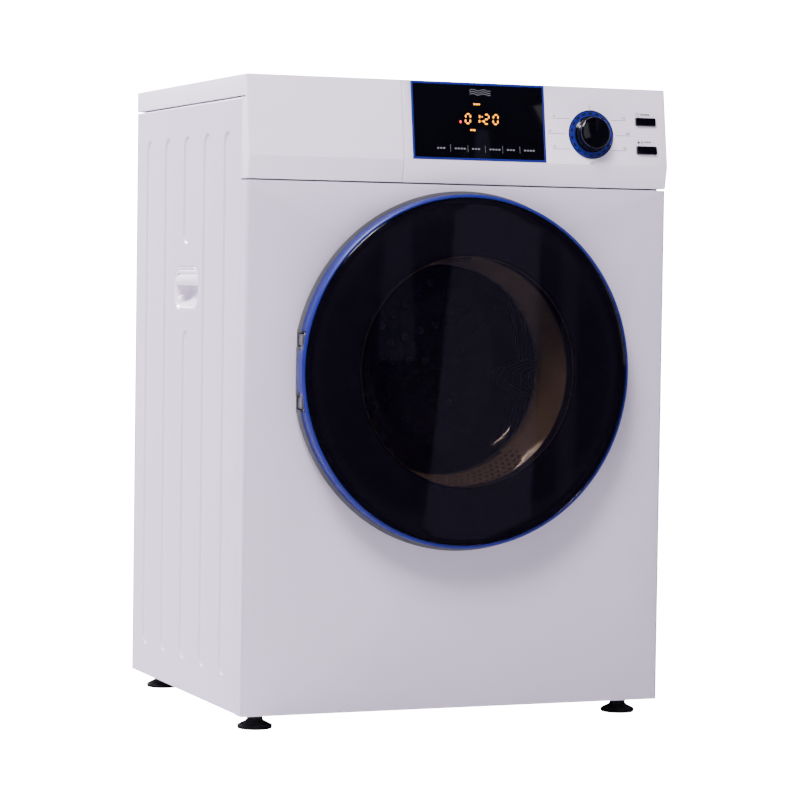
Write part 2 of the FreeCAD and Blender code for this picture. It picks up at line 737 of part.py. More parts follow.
def door_frame():
    """Moulded channel behind the glass, open to the back, with a pocket for the hinge leaf."""
    rim = "(ring_radius - ring_wall - 1.3)"
    points = [
        ("0 - 30.2", "window_radius"), ("0 - 30.2", rim), ("0 - ring_back", rim),
        ("0 - ring_back", f"{rim} - wall"), ("0 - 27.7", f"{rim} - wall"),
        ("0 - 27.7", "window_radius + wall"), ("0 - ring_back - 3", "window_radius + wall"),
        ("0 - ring_back - 3", "window_radius"),
    ]
    pocket_box = box(("hinge_x - 12", "front - 27.7", "arm_low - hinge_arm / 2 - 5"),
                     ("hinge_x + 12", "front - ring_back + 1", "arm_high + hinge_arm / 2 + 5"))
    return cut(turned(points, DOOR), pocket_box)


def door_rear_cover():
    """Back cover of the door, which clamps the bowl, carries the seal and shows as a thin rim."""
    rim = "(ring_radius + rim_proud)"
    points = [
        ("0 - ring_back", "bowl_radius + 4"), ("0 - ring_back", rim), ("0 - ring_back + 1", rim),
        ("0 - cover_back", f"{rim} - 4"), ("0 - cover_back", "bowl_radius + 4"),
    ]
    plate_room = box(("hinge_x - 30", "front - 10", "arm_low - 16"),
                     ("0 - ring_radius + 0.7", "front", "arm_high + 16"))
    return cut(turned(points, DOOR), plate_room, *hinge_gap("20", "12", "front - 10", "front", "2"))


def door_inner_bowl():
    """Glass bowl that reaches through the port and keeps clothes in the drum."""
    points = [
        ("0 - ring_back - 3", "bowl_radius - 4"), ("0 - ring_back - 3", "bowl_radius + 14"),
        ("0 - ring_back", "bowl_radius + 14"), ("0 - ring_back", "bowl_radius"),
        ("bowl_depth", "bowl_end_radius"), ("bowl_depth + bowl_dome", "0"),
        ("bowl_depth", "0"), ("bowl_depth - 3.5", "bowl_end_radius - 3.6"),
    ]
    return turned(points, DOOR)


def door_seal():
    """Rubber ring on the back cover that meets the port flange."""
    points = [
        ("0 - cover_back", "port_front_radius + 8"), ("0 - cover_back", "port_front_radius + 20"),
        ("0 - 3", "port_front_radius + 20"), ("sheet - play", "port_front_radius + 16"),
        ("sheet - play", "port_front_radius + 12"), ("0 - 3", "port_front_radius + 8"),
    ]
    return turned(points, DOOR)


def hinge_base():
    """Hinge plate on the front panel with two arms that end in knuckles."""
    plate = box(("hinge_x - 6", "front - hinge_plate", "arm_low - 14"), ("hinge_x + 24", "front", "arm_high + 14"))
    parts = [plate]
    bores = []
    for height in ("arm_low", "arm_high"):
        low, high = f"{height} - hinge_arm / 2", f"{height} + hinge_arm / 2"
        parts.append(box(("hinge_x - hinge_half", "hinge_y", low), ("hinge_x + hinge_half", "front", high)))
        parts.append(rod(("hinge_x", "hinge_y", low), "knuckle_radius", "hinge_arm"))
        bores.append(rod(("hinge_x", "hinge_y", f"{low} - 1"), "pin_radius + shaft_play", "hinge_arm + 2"))
    return cut(join(*parts), *bores)


def door_hinge_leaf():
    """Door half of the hinge: a knuckle bar between the arms and a foot on the door frame."""
    low, high = "arm_low + hinge_arm / 2 + play", "arm_high - hinge_arm / 2 - play"
    bar = rod(("hinge_x", "hinge_y", low), "knuckle_radius", f"({high}) - ({low})")
    web = box(("hinge_x", "hinge_y - 1.5", low), ("hinge_x + 36", "hinge_y + 1.5", high))
    foot = box(("hinge_x + 20", "front - 27.7", low), ("hinge_x + 36", "hinge_y + 1.5", high))
    bore = rod(("hinge_x", "hinge_y", f"{low} - 1"), "pin_radius", f"({high}) - ({low}) + 2")
    return cut(join(bar, web, foot), bore)


def hinge_pin():
    low, high = "arm_low - hinge_arm / 2 - 3", "arm_high + hinge_arm / 2 + 3"
    return rod(("hinge_x", "hinge_y", low), "pin_radius", f"({high}) - ({low})")


def door_strike():
    return box(("strike_across - 1.5", "front - cover_back", "door_middle - 8"),
               ("strike_across + 1.5", "front + 14", "door_middle + 8"))


def door_lock():
    """Lock case behind the front panel, with a slot for the strike and a channel for the catch."""
    case = box(("strike_across - 9", "front + sheet", "door_middle - 30"),
               ("strike_across + 31", "front + 30", "door_middle + 30"))
    slot = box(("strike_across - 5.5", "front", "door_middle - 10"),
               ("strike_across + 5.5", "front + 18", "door_middle + 10"))
    channel = box(("strike_across", "front + 4.5", "door_middle - 7"),
                  ("strike_across + 28", "front + 11.5", "door_middle + 7"))
    return cut(case, slot, channel)


def lock_catch():
    """Sprung catch: a roller beside the strike on a square stem."""
    roller = rod(("strike_across + 1.5 + play + 3", "front + 8", "door_middle - 6"), "3", "12")
    stem = box(("strike_across + 4.5 + play", "front + 6", "door_middle - 4"),
               ("strike_across + 23", "front + 10", "door_middle + 4"))
    return join(roller, stem)


finish(door_outer_glass(), "door_outer_glass")
finish(door_ring(), "door_ring")
finish(door_frame(), "door_frame")
finish(door_rear_cover(), "door_rear_cover")
finish(door_inner_bowl(), "door_inner_bowl")
finish(door_seal(), "door_seal")
finish(door_hinge_leaf(), "door_hinge_leaf")
finish(hinge_pin(), "hinge_pin")
finish(hinge_base(), "hinge_base")
finish(door_strike(), "door_strike")
finish(door_lock(), "door_lock")
finish(lock_catch(), "lock_catch")


# ---------------------------------------------------------------- port, lint filter and bulkhead

def funnel_shell():
    """Turned shell of the port: flange, cone and short neck."""
    points = [
        ("sheet", "port_front_radius"), ("port_cone", "port_radius"), ("port_depth", "port_radius"),
        ("port_depth", "port_radius + wall"), ("port_cone", "port_radius + wall"),
        ("sheet + wall", "port_front_radius + wall"), ("sheet + wall", "port_flange"),
        ("sheet", "port_flange"),
    ]
    return turned(points, DOOR)


def lower_sector(spare):
    """Wedge of the cone's depth that opens straight down."""
    wedge = doc.addObject("Part::Cylinder", "wedge")
    start = 90 - now("grille_half") + spare
    wedge.Placement = Placement(Vector(), TURN["Y"].multiply(Rotation(Vector(0, 0, 1), start)))
    bind(wedge, Radius="port_flange - 30", Height="port_cone - 12", Angle=f"2 * grille_half - {2 * spare}")
    return move(wedge, "0", "front + 7", "door_middle")


def port_funnel():
    """Port ring with a seat for the lint grille and a slot for the lint filter."""
    slot = box(("0 - filter_wide / 2 - 2 * play", "filter_back - filter_thick - play", "filter_low"),
               ("filter_wide / 2 + 2 * play", "filter_back + play", "door_middle - port_radius / 3"))
    return cut(funnel_shell(), lower_sector(0), slot)


def lint_grille():
    """Lower part of the cone, slotted to let the air through to the filter."""
    sector = doc.addObject("Part::MultiCommon", "sector")
    sector.Shapes = [funnel_shell(), lower_sector(0.1)]
    slots = []
    count = 17
    for index in range(count):
        slot = doc.addObject("Part::Box", "slot")
        angle = (index - (count - 1) / 2) * 2 * now("grille_half") / (count + 2)
        turn = Rotation(Vector(0, 1, 0), angle)
        bind(slot, Length="4", Width="port_cone - 24", Height="60")
        slot.Placement = Placement(Vector(), turn)
        spot = turn.multVec(Vector(-2, 0, -now("port_front_radius") - 20))
        move(slot, str(round(spot.x, 4)), "front + 13", f"door_middle + ({round(spot.z, 4)})")
        slots.append(slot)
    return cut(sector, *slots)


def lint_filter():
    """Filter cassette: a frame with a thin mesh plate, and a top that follows the port."""
    y_low, y_high = "filter_back - filter_thick", "filter_back"
    frame = box(("0 - filter_wide / 2", y_low, "filter_low"),
                ("filter_wide / 2", y_high, "door_middle - port_radius / 2"))
    port = rod(("0", "front", "door_middle"), "port_radius + 1", "port_depth + 20", "Y")
    recesses = []
    for low, high in ((f"{y_low} - 1", "filter_back - filter_thick / 2 - 0.7"),
                      ("filter_back - filter_thick / 2 + 0.7", f"{y_high} + 1")):
        recesses.append(box(("8 - filter_wide / 2", low, "filter_low + 8"),
                            ("filter_wide / 2 - 8", high, "door_middle - port_radius - 14")))
    return cut(frame, port, *recesses)


def lint_duct():
    """Flat duct that takes the air from the filter down to the blower."""
    def hull(grow):
        y_low, y_high = f"front + 12 + {grow}", f"front + port_depth + 1.5 - {grow}"
        upper = box((f"{grow} - filter_wide / 2 - 14", y_low, f"bottom + 130 + {grow}"),
                    (f"filter_wide / 2 + 14 - {grow}", y_high, f"door_middle - port_front_radius - 8 + {grow}"))
        lower = box((f"motor_across - 60 + {grow}", y_low, f"bottom + 28 + {grow}"),
                    (f"motor_across + 60 - {grow}", y_high, f"bottom + 190 - {grow}"))
        return join(upper, lower)

    outlet = rod(("motor_across", "front + port_depth - 4", "motor_z"), "40", "10", "Y")
    return cut(hull("0"), hull("2"), outlet)


def front_bulkhead():
    """Drum front support: a plate across the cabinet with a collar for the felt."""
    reach = "side - sheet - rib_depth"
    plate = box((f"0 - ({reach})", "bulkhead_front", "bottom + 172"),
                (reach, "bulkhead_front + 2", "crease - 4"))
    collar = rod(("0", "bulkhead_front", "door_middle"), "drum_mouth - 6", "drum_front + 14 - bulkhead_front", "Y")
    dish = rod(("0", "bulkhead_front + 2", "door_middle"), "drum_mouth - 8", "60", "Y")
    hole = rod(("0", "bulkhead_front - 1", "door_middle"), "port_radius", "60", "Y")
    return cut(join(plate, collar), dish, hole)


def drum_front_felt():
    return tube(("0", "bulkhead_front + 2", "door_middle"), "drum_mouth - 0.4", "drum_mouth - 6",
                "drum_front + 14 - bulkhead_front - 2", "Y")


finish(port_funnel(), "port_funnel")
finish(lint_grille(), "lint_grille")
finish(lint_filter(), "lint_filter")
finish(lint_duct(), "lint_duct")
finish(front_bulkhead(), "front_bulkhead")
finish(drum_front_felt(), "drum_front_felt")


# ---------------------------------------------------------------- drum, rollers and bearing

def roller_place(side_sign):
    reach = "(drum_radius + play + roller_radius)"
    x = f"{side_sign} * {reach} * sin(roller_angle * 1 deg)"
    return x, f"door_middle - {reach} * cos(roller_angle * 1 deg)"


def drum_roller(side_sign):
    x, z = roller_place(side_sign)
    return tube((x, "drum_front + 2", z), "roller_radius", "axle_radius + shaft_play",
                "roller_wide", "Y")


def roller_axles():
    """Two axles on the bulkhead, each with a washer head behind its roller."""
    axles = []
    for side_sign in ("0 - 1", "1"):
        x, z = roller_place(f"({side_sign})")
        stem = rod((x, "bulkhead_front + 2", z), "axle_radius",
                   "drum_front + roller_wide + 4 - bulkhead_front - 2", "Y")
        head = rod((x, "drum_front + roller_wide + 2 + play", z), "axle_radius + 4", "3", "Y")
        axles.append(join(stem, head))
    return group(*axles)


def drum_shell():
    """Steel drum: an open mouth with a lip, and a perforated back wall."""
    inner = "(drum_radius - sheet)"
    points = [
        ("0", "drum_mouth"), ("0", "drum_radius"), ("drum_length", "drum_radius"), ("drum_length", "0"),
        ("drum_length - sheet", "0"), ("drum_length - sheet", inner), ("sheet", inner),
        ("sheet", "drum_mouth"),
    ]
    body = turned(points, ("0", "drum_front", "door_middle"))

    def first_holes(sketch):
        for radius in ("80", "105", "130", "155", "180"):
            draw_circle(sketch, radius, "0", "6")

    holes = pocket(body, "XZ_Plane", first_holes, "drum_length + 1")
    pattern = body.newObject("PartDesign::PolarPattern", "pattern")
    pattern.Originals = [holes]
    pattern.Axis = (holes.Profile[0], ["N_Axis"])
    pattern.Angle = 360
    pattern.Occurrences = 18
    body.Tip = pattern
    return body


def drum_lifters():
    """Solid lifters spaced round the drum wall."""
    seat = "sqrt((drum_radius - sheet) * (drum_radius - sheet) - 900)"
    outline = [
        ("0 - 30", f"0 - {seat}"), ("30", f"0 - {seat}"),
        ("9", f"lifter_height - {seat}"), ("0 - 9", f"lifter_height - {seat}"),
    ]
    lifters = []
    count = int(now("lifter_count"))
    for index in range(count):
        lifter = extrude("XZ_Plane", outline, "drum_length - 50", ("0", "drum_back - 20", "door_middle"))
        lifter.Placement = Placement(Vector(), Rotation(Vector(0, 1, 0), 35 + 360 / count * index))
        move(lifter, "0", "drum_back - 20", "door_middle")
        lifters.append(lifter)
    return group(*lifters)


def drum_shaft():
    points = [
        ("0", "0"), ("0", "60"), ("4", "60"), ("4", "shaft_radius"),
        ("40", "shaft_radius"), ("40", "0"),
    ]
    return turned(points, ("0", "drum_back", "door_middle"))


def bearing_bracket():
    """Bearing housing on the back panel that the drum shaft turns in."""
    depth = "rear_plate - drum_back"
    points = [
        ("14", "shaft_radius + shaft_play"), ("14", "shaft_radius + 16"),
        (f"{depth} - 2", "shaft_radius + 16"), (f"{depth} - 2", "90"), (depth, "90"),
        (depth, "shaft_radius + shaft_play"),
    ]
    return turned(points, ("0", "drum_back", "door_middle"))


finish(drum_shell(), "drum_shell")
finish(drum_lifters(), "drum_lifters")
finish(drum_shaft(), "drum_shaft")
finish(bearing_bracket(), "bearing_bracket")
finish(roller_axles(), "roller_axles")
finish(drum_roller("(0 - 1)"), "roller_left")
finish(drum_roller("1"), "roller_right")


# ---------------------------------------------------------------- motor, belt and blower

def motor_housing():
    """Stator casing with two end bells; the shaft turns in their bores."""
    bore = "motor_shaft_radius + shaft_play"
    points = [
        ("0", bore), ("0", "motor_radius"), ("motor_length", "motor_radius"), ("motor_length", bore),
        ("motor_length - 8", bore), ("motor_length - 8", "motor_radius - 20"),
        ("8", "motor_radius - 20"), ("8", bore),
    ]
    return turned(points, ("motor_across", "motor_front", "motor_z"))


def motor_shaft():
    """Shaft with the rotor core and the belt pulley."""
    pulley = "(belt_front - motor_front)"
    points = [
        ("blower_front + 6 - motor_front", "0"), ("blower_front + 6 - motor_front", "motor_shaft_radius"),
        ("12", "motor_shaft_radius"), ("12", "motor_radius - 21"), ("motor_length - 12", "motor_radius - 21"),
        ("motor_length - 12", "motor_shaft_radius"), (f"{pulley} - 2", "motor_shaft_radius"),
        (f"{pulley} - 2", "pulley_radius"), (f"{pulley} + belt_wide + 2", "pulley_radius"),
        (f"{pulley} + belt_wide + 2", "motor_shaft_radius"), (f"{pulley} + belt_wide + 6", "motor_shaft_radius"),
        (f"{pulley} + belt_wide + 6", "0"),
    ]
    return turned(points, ("motor_across", "motor_front", "motor_z"))


def motor_bracket():
    """Cradle that holds the motor on the base pan, with the idler's pivot post."""
    floor = "bottom + sheet + 1.5"
    cradle = box(("motor_across - 50", "motor_front + 10", floor),
                 ("motor_across + 50", "motor_back - 10", "motor_z - motor_radius + 14"))
    saddle = rod(("motor_across", "motor_front", "motor_z"), "motor_radius", "motor_length", "Y")
    foot = box(("motor_across - 150", "motor_back - 20", floor),
               ("motor_across - 50", "motor_back - 10", f"{floor} + 4"))
    rail = box(("motor_across - 150", "motor_back - 20", floor),
               ("motor_across - 110", "belt_front + belt_wide + 14", f"{floor} + 4"))
    post = box(("idler_pivot_x - 9", "belt_front + belt_wide + 8", floor),
               ("idler_pivot_x + 9", "belt_front + belt_wide + 14", "idler_pivot_z + 9"))
    pivot = rod(("idler_pivot_x", "belt_front + belt_wide + 2", "idler_pivot_z"), "axle_radius", "6", "Y")
    return join(cut(cradle, saddle), foot, rail, post, pivot)


def idler_arm():
    """Sprung arm that carries the idler pulley's axle."""
    y_low = "belt_front + belt_wide + 3"
    ends = [rod((x, y_low, z), "axle_radius + 5", "4", "Y")
            for x, z in (("idler_across", "idler_z"), ("idler_pivot_x", "idler_pivot_z"))]
    bar = doc.addObject("Part::Box", "bar")
    bind(bar, Length="idler_arm_length", Width="4", Height="10")
    slope = "asin((idler_z - idler_pivot_z) / idler_arm_length)"
    bar.Placement = Placement(Vector(), Rotation(Vector(0, -1, 0), 30))
    bar.setExpression("Placement.Rotation.Angle", full(slope))
    move(bar, f"idler_pivot_x + 5 * sin({slope})", y_low, f"idler_pivot_z - 5 * cos({slope})")
    axle = rod(("idler_across", "belt_front - 4", "idler_z"), "axle_radius",
               "belt_wide + 11", "Y")
    bore = rod(("idler_pivot_x", f"{y_low} - 2", "idler_pivot_z"), "axle_radius + shaft_play", "9", "Y")
    return cut(join(*ends, bar, axle), bore)


def idler_pulley():
    return tube(("idler_across", "belt_front - 1", "idler_z"), "idler_radius",
                "axle_radius + shaft_play", "belt_wide + 2", "Y")


def belt_loop(circles, grow):
    """Closed wire round circles given as (x, z, radius) in counter-clockwise order."""
    grown = [(x, z, radius + grow) for x, z, radius in circles]
    count = len(grown)
    leave = []
    arrive = []
    for index in range(count):
        x0, z0, radius0 = grown[index]
        x1, z1, radius1 = grown[(index + 1) % count]
        along = math.atan2(z1 - z0, x1 - x0)
        distance = math.hypot(x1 - x0, z1 - z0)
        normal = along - math.acos((radius0 - radius1) / distance)
        leave.append(normal)
        arrive.append(normal)
    edges = []

    def spot(circle, angle):
        x, z, radius = circle
        return Vector(x + radius * math.cos(angle), 0, z + radius * math.sin(angle))

    for index in range(count):
        circle = grown[index]
        start = arrive[index - 1]
        stop = leave[index]
        while stop < start:
            stop += 2 * math.pi
        ends = [spot(circle, angle) for angle in (start, (start + stop) / 2, stop)]
        edges.append(Part.Arc(*ends).toShape())
        edges.append(Part.LineSegment(ends[2], spot(grown[(index + 1) % count], stop)).toShape())
    return Part.Wire(edges)


def drive_belt():
    """Flat belt round the drum, the idler and the motor pulley."""
    play = now("play")
    circles = [
        (0, now("door_middle"), now("drum_radius") + play),
        (now("idler_across"), now("idler_z"), now("idler_radius") + play),
        (now("motor_across"), now("motor_z"), now("pulley_radius") + play),
    ]
    outside = Part.Face(belt_loop(circles, now("belt_thick")))
    inside = Part.Face(belt_loop(circles, 0))
    belt = doc.addObject("Part::Feature", "belt")
    belt.Shape = outside.cut(inside).extrude(Vector(0, now("belt_wide"), 0))
    return move(belt, "0", "belt_front", "0")


def blower_wheel():
    """Wheel with a back plate and a ring of straight blades, fixed on the motor shaft."""
    body = new_body()

    def disc(sketch):
        draw_circle(sketch, "0", "0", "blower_radius")
        draw_circle(sketch, "0", "0", "motor_shaft_radius")

    def hub(sketch):
        draw_circle(sketch, "0", "0", "motor_shaft_radius + 8")
        draw_circle(sketch, "0", "0", "motor_shaft_radius")

    def blade(sketch):
        draw_polygon(sketch, [
            ("blower_radius - 18", "0 - 0.8"), ("blower_radius - 0.2", "0 - 0.8"),
            ("blower_radius - 0.2", "0.8"), ("blower_radius - 18", "0.8"),
        ])

    pad(body, "XZ_Plane", disc, "2")
    pad(body, "XZ_Plane", hub, "blower_wide / 2")
    first = pad(body, "XZ_Plane", blade, "blower_wide")
    doc.recompute()
    pattern = body.newObject("PartDesign::PolarPattern", "pattern")
    pattern.Originals = [first]
    pattern.Axis = (first.Profile[0], ["N_Axis"])
    pattern.Angle = 360
    bind(pattern, Occurrences="blower_blades")
    body.Tip = pattern
    return move(body, "motor_across", "blower_front + 10 + blower_wide", "motor_z")


def blower_housing():
    """Drum-shaped case with an inlet in front and a neck to the exhaust duct."""
    deep = "blower_back - blower_front"
    neck = ("motor_across - blower_case - 16", "blower_front + 4", "motor_z - 30")
    neck_end = ("motor_across - blower_case + 30", "blower_back - 4", "motor_z + 30")
    neck_in = ("motor_across - blower_case - 17", "blower_front + 6", "motor_z - 28")
    neck_in_end = ("motor_across - blower_case + 40", "blower_back - 6", "motor_z + 28")
    outer = join(rod(("motor_across", "blower_front", "motor_z"), "blower_case", deep, "Y"),
                 box(neck, neck_end))
    hollow = rod(("motor_across", "blower_front + 2", "motor_z"), "blower_case - 2", f"{deep} - 4", "Y")
    inlet = rod(("motor_across", "blower_front - 1", "motor_z"), "40", "6", "Y")
    shaft_hole = rod(("motor_across", "blower_back - 4", "motor_z"), "motor_shaft_radius + 2", "8", "Y")
    return cut(outer, hollow, inlet, shaft_hole, box(neck_in, neck_in_end))


finish(motor_housing(), "motor_housing")
finish(motor_shaft(), "motor_shaft")
finish(motor_bracket(), "motor_bracket")
finish(idler_arm(), "idler_arm")
finish(idler_pulley(), "idler_pulley")
finish(drive_belt(), "drive_belt")
finish(blower_wheel(), "blower_wheel")
finish(blower_housing(), "blower_housing")


# ---------------------------------------------------------------- heater, exhaust, inlet and feet

def exhaust_duct():
    """Square duct from the blower across the base and out to the back panel."""
    half = "(duct_size / 2)"
    right = "motor_across - blower_case - 16 - play"
    y_low = "blower_front - 2"

    def hull(grow, past):
        first = box((f"duct_x - {half} + {grow}", f"{y_low} + {grow}", f"motor_z - {half} + {grow}"),
                    (f"{right} + {past}", f"{y_low} + duct_size - {grow}", f"motor_z + {half} - {grow}"))
        second = box((f"duct_x - {half} + {grow}", f"{y_low} + {grow}", f"motor_z - {half} + {grow}"),
                     (f"duct_x + {half} - {grow}", f"rear_plate + {past}", f"motor_z + {half} - {grow}"))
        return join(first, second)

    return cut(hull("0", "0"), hull("2", "1"))


def exhaust_collar():
    """Round collar on the back for a vent hose, on a square flange."""
    plate = box(("duct_x - duct_size / 2 - 6", "back", "motor_z - duct_size / 2 - 6"),
                ("duct_x + duct_size / 2 + 6", "back + 2", "motor_z + duct_size / 2 + 6"))
    neck = rod(("duct_x", "back", "motor_z"), "collar_radius", "duct_reach", "Y")
    hole = rod(("duct_x", "back - 1", "motor_z"), "collar_radius - 2", "duct_reach + 2", "Y")
    return cut(join(plate, neck), hole)


def rear_duct_cover():
    """Pressed cover over the heater, with a flange and intake slots along its lower part."""
    def shell(grow, past):
        return box((f"{grow} - cover_wide / 2", "back - 1 + " + past, f"door_middle - cover_tall / 2 + {grow}"),
                   (f"cover_wide / 2 - {grow}", f"back + cover_proud - {grow}", f"door_middle + cover_tall / 2 - {grow}"))

    flange = box(("0 - cover_wide / 2 - 12", "back", "door_middle - cover_tall / 2 - 12"),
                 ("cover_wide / 2 + 12", "back + sheet", "door_middle + cover_tall / 2 + 12"))
    slots = []
    for index in range(9):
        slots.append(box((f"0 - 130 + {index} * 30", "back + cover_proud - 3", "door_middle - cover_tall / 2 + 30"),
                         (f"0 - 118 + {index} * 30", "back + cover_proud + 1", "door_middle - cover_tall / 2 + 90")))
    return cut(join(flange, shell("0", "1")), shell("sheet", "0"), *slots)


def heater_coils():
    """Rod element in a frame of two ceramic bars, on the back panel."""
    bars = [box((x, "back", "door_middle - 120"), (f"{x} + 10", "back + 16", "door_middle + 120"))
            for x in ("0 - 110", "100")]
    elements = [rod(("0 - 105", "back + 9", f"door_middle - 105 + {index} * 30"), "3", "210", "X")
                for index in range(8)]
    return join(*bars, *elements)


def cord_inlet():
    """Gland plate for the mains lead, high on the back."""
    plate = box(("side - 110", "back", "top - 130"), ("side - 60", "back + 3", "top - 80"))
    boss = rod(("side - 85", "back", "top - 105"), "12", "14", "Y")
    hole = rod(("side - 85", "back - 1", "top - 105"), "5", "17", "Y")
    return cut(join(plate, boss), hole)


def levelling_foot(x, y):
    """Screw foot: a pad with a sloped shoulder, a hexagon and a stud through the base."""
    points = [
        ("0", "0"), ("0", "foot_radius"), ("foot_pad / 2", "foot_radius"), ("foot_pad", "foot_radius * 0.6"),
        ("foot_pad + nut_height", "9"), ("foot_pad + nut_height", "stud_radius"),
        ("foot_height + 30", "stud_radius"), ("foot_height + 30", "0"),
    ]
    return turned(points, (x, y, "0"), axis="Z")


finish(heater_coils(), "heater_coils")
finish(rear_duct_cover(), "rear_duct_cover")
finish(exhaust_duct(), "exhaust_duct")
finish(exhaust_collar(), "exhaust_collar")
finish(cord_inlet(), "cord_inlet")
FOOT_NAMES = ("foot_front_left", "foot_rear_left", "foot_front_right", "foot_rear_right")
for foot_name, (foot_x, foot_y) in zip(FOOT_NAMES, foot_places()):
    finish(levelling_foot(foot_x, foot_y), foot_name)


# ---------------------------------------------------------------- checks and export

doc.recompute()
for item in doc.Objects:
    if "Invalid" in item.State or "Error" in item.State:
        raise RuntimeError(f"{item.Name} did not build: {item.State}")
for item in finished:
    if item.Shape.isNull() or not item.Shape.isValid() or not item.Shape.Solids:
        raise RuntimeError(f"{item.Label} has no valid solid")

os.makedirs("parts", exist_ok=True)
for item in finished:
    item.Shape.exportStep(f"parts/{item.Label}.step")
print(f"{len(finished)} nodes")
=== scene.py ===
import json
import math
import bmesh
import bpy
from mathutils import Matrix, Vector

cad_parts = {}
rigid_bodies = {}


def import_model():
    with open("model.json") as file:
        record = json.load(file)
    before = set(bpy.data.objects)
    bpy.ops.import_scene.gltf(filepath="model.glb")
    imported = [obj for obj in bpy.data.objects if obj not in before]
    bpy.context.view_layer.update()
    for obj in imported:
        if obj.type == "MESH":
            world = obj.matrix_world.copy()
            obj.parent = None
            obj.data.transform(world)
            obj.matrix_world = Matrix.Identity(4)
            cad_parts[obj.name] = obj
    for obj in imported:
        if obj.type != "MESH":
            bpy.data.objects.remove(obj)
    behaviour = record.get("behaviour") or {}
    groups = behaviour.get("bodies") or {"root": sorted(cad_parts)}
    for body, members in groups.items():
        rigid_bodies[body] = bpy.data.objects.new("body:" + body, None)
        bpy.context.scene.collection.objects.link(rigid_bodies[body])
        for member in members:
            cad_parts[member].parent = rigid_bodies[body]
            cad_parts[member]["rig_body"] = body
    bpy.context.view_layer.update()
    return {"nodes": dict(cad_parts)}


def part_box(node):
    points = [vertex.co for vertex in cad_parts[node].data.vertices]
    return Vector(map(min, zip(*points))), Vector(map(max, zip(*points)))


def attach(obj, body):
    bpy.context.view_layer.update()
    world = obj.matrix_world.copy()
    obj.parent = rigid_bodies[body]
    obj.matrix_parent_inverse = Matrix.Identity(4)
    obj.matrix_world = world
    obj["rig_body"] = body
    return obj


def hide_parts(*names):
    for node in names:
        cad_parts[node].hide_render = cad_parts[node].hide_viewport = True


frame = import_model()
nodes = frame["nodes"]

# ---------------- studio
# The dryer stands on a plain pale floor in a white room. The main lamp is high
# in front, others are behind its left side, at the back and, weakly, on the
# right. Dim glowing cards in front make the sheen on the door glass.

GLASS_LOW, GLASS_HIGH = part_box("door_outer_glass")
PANEL_LOW, PANEL_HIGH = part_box("front_panel")
LID_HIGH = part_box("worktop_frame")[1]
FRONT = PANEL_LOW.y
DOOR_MIDDLE = (GLASS_LOW.z + GLASS_HIGH.z) / 2

CAMERA_PLACE = Vector((-1.5003, FRONT - 3.5265, 0.5877))
CAMERA_TURN = math.radians(21.884)
CAMERA_PITCH = math.radians(-2.395)
CAMERA_ROLL = math.radians(0.817)
CAMERA_LENS = 131.35


def aim(place, target):
    """World matrix that stands at a place with -Z towards a target."""
    back = (Vector(place) - Vector(target)).normalized()
    side = Vector((0, 0, 1)).cross(back).normalized()
    up = back.cross(side)
    turn = Matrix((side, up, back)).transposed().to_4x4()
    return Matrix.Translation(place) @ turn


def add_camera():
    data = bpy.data.cameras.new("camera")
    data.lens = CAMERA_LENS
    data.sensor_width = 36
    data.clip_end = 50
    camera = bpy.data.objects.new("camera", data)
    bpy.context.scene.collection.objects.link(camera)
    turn = Matrix.Rotation(-CAMERA_TURN, 4, "Z") @ Matrix.Rotation(math.pi / 2 + CAMERA_PITCH, 4, "X")
    camera.matrix_world = Matrix.Translation(CAMERA_PLACE) @ turn @ Matrix.Rotation(CAMERA_ROLL, 4, "Z")
    bpy.context.scene.camera = camera


def add_lamp(name, place, target, wide, tall, power, colour):
    data = bpy.data.lights.new(name, "AREA")
    data.shape = "RECTANGLE"
    data.size = wide
    data.size_y = tall
    data.energy = power
    data.color = colour
    lamp = bpy.data.objects.new(name, data)
    bpy.context.scene.collection.objects.link(lamp)
    lamp.matrix_world = aim(place, target)
    return lamp


def add_mesh(name, bm):
    """New object of a bmesh, at the origin."""
    mesh = bpy.data.meshes.new(name)
    bm.to_mesh(mesh)
    bm.free()
    piece = bpy.data.objects.new(name, mesh)
    bpy.context.scene.collection.objects.link(piece)
    return piece


def set_sockets(node, sockets):
    for socket, value in sockets.items():
        node.inputs[socket].default_value = value


def add_node(tree, kind, sockets={}):
    """New shader node with constants set on its named sockets."""
    node = tree.nodes.new("ShaderNode" + kind)
    set_sockets(node, sockets)
    return node


def new_material(name, sockets={}):
    """New material, its node tree and its main shader."""
    material = bpy.data.materials.new(name)
    material.use_nodes = True
    tree = material.node_tree
    shader = tree.nodes["Principled BSDF"]
    set_sockets(shader, sockets)
    return material, tree, shader


def mixed(tree, share, first, second):
    """Mix of two shader outputs; the share is another node's output or a number."""
    mix = tree.nodes.new("ShaderNodeMixShader")
    if isinstance(share, float):
        mix.inputs["Fac"].default_value = share
    else:
        tree.links.new(share, mix.inputs["Fac"])
    tree.links.new(first, mix.inputs[1])
    tree.links.new(second, mix.inputs[2])
    return mix.outputs["Shader"]


def floor_paint():
    """The floor shows as bright as the room, and still lights the dryer as plain paint does."""
    paint_sockets = {"Base Color": (0.95, 0.95, 0.96, 1), "Roughness": 0.9}
    material, tree, shader = new_material("floor_paint", paint_sockets)
    glow = add_node(tree, "Emission", {"Strength": 20})
    path = add_node(tree, "LightPath")
    surface = mixed(tree, path.outputs["Is Camera Ray"], shader.outputs["BSDF"], glow.outputs["Emission"])
    tree.links.new(surface, tree.nodes["Material Output"].inputs["Surface"])
    return material


def add_floor():
    bm = bmesh.new()
    bmesh.ops.create_grid(bm, x_segments=1, y_segments=1, size=12)
    floor = add_mesh("floor", bm)
    floor.data.materials.append(floor_paint())
    floor.visible_glossy = False


CARDS_AHEAD = 2.36


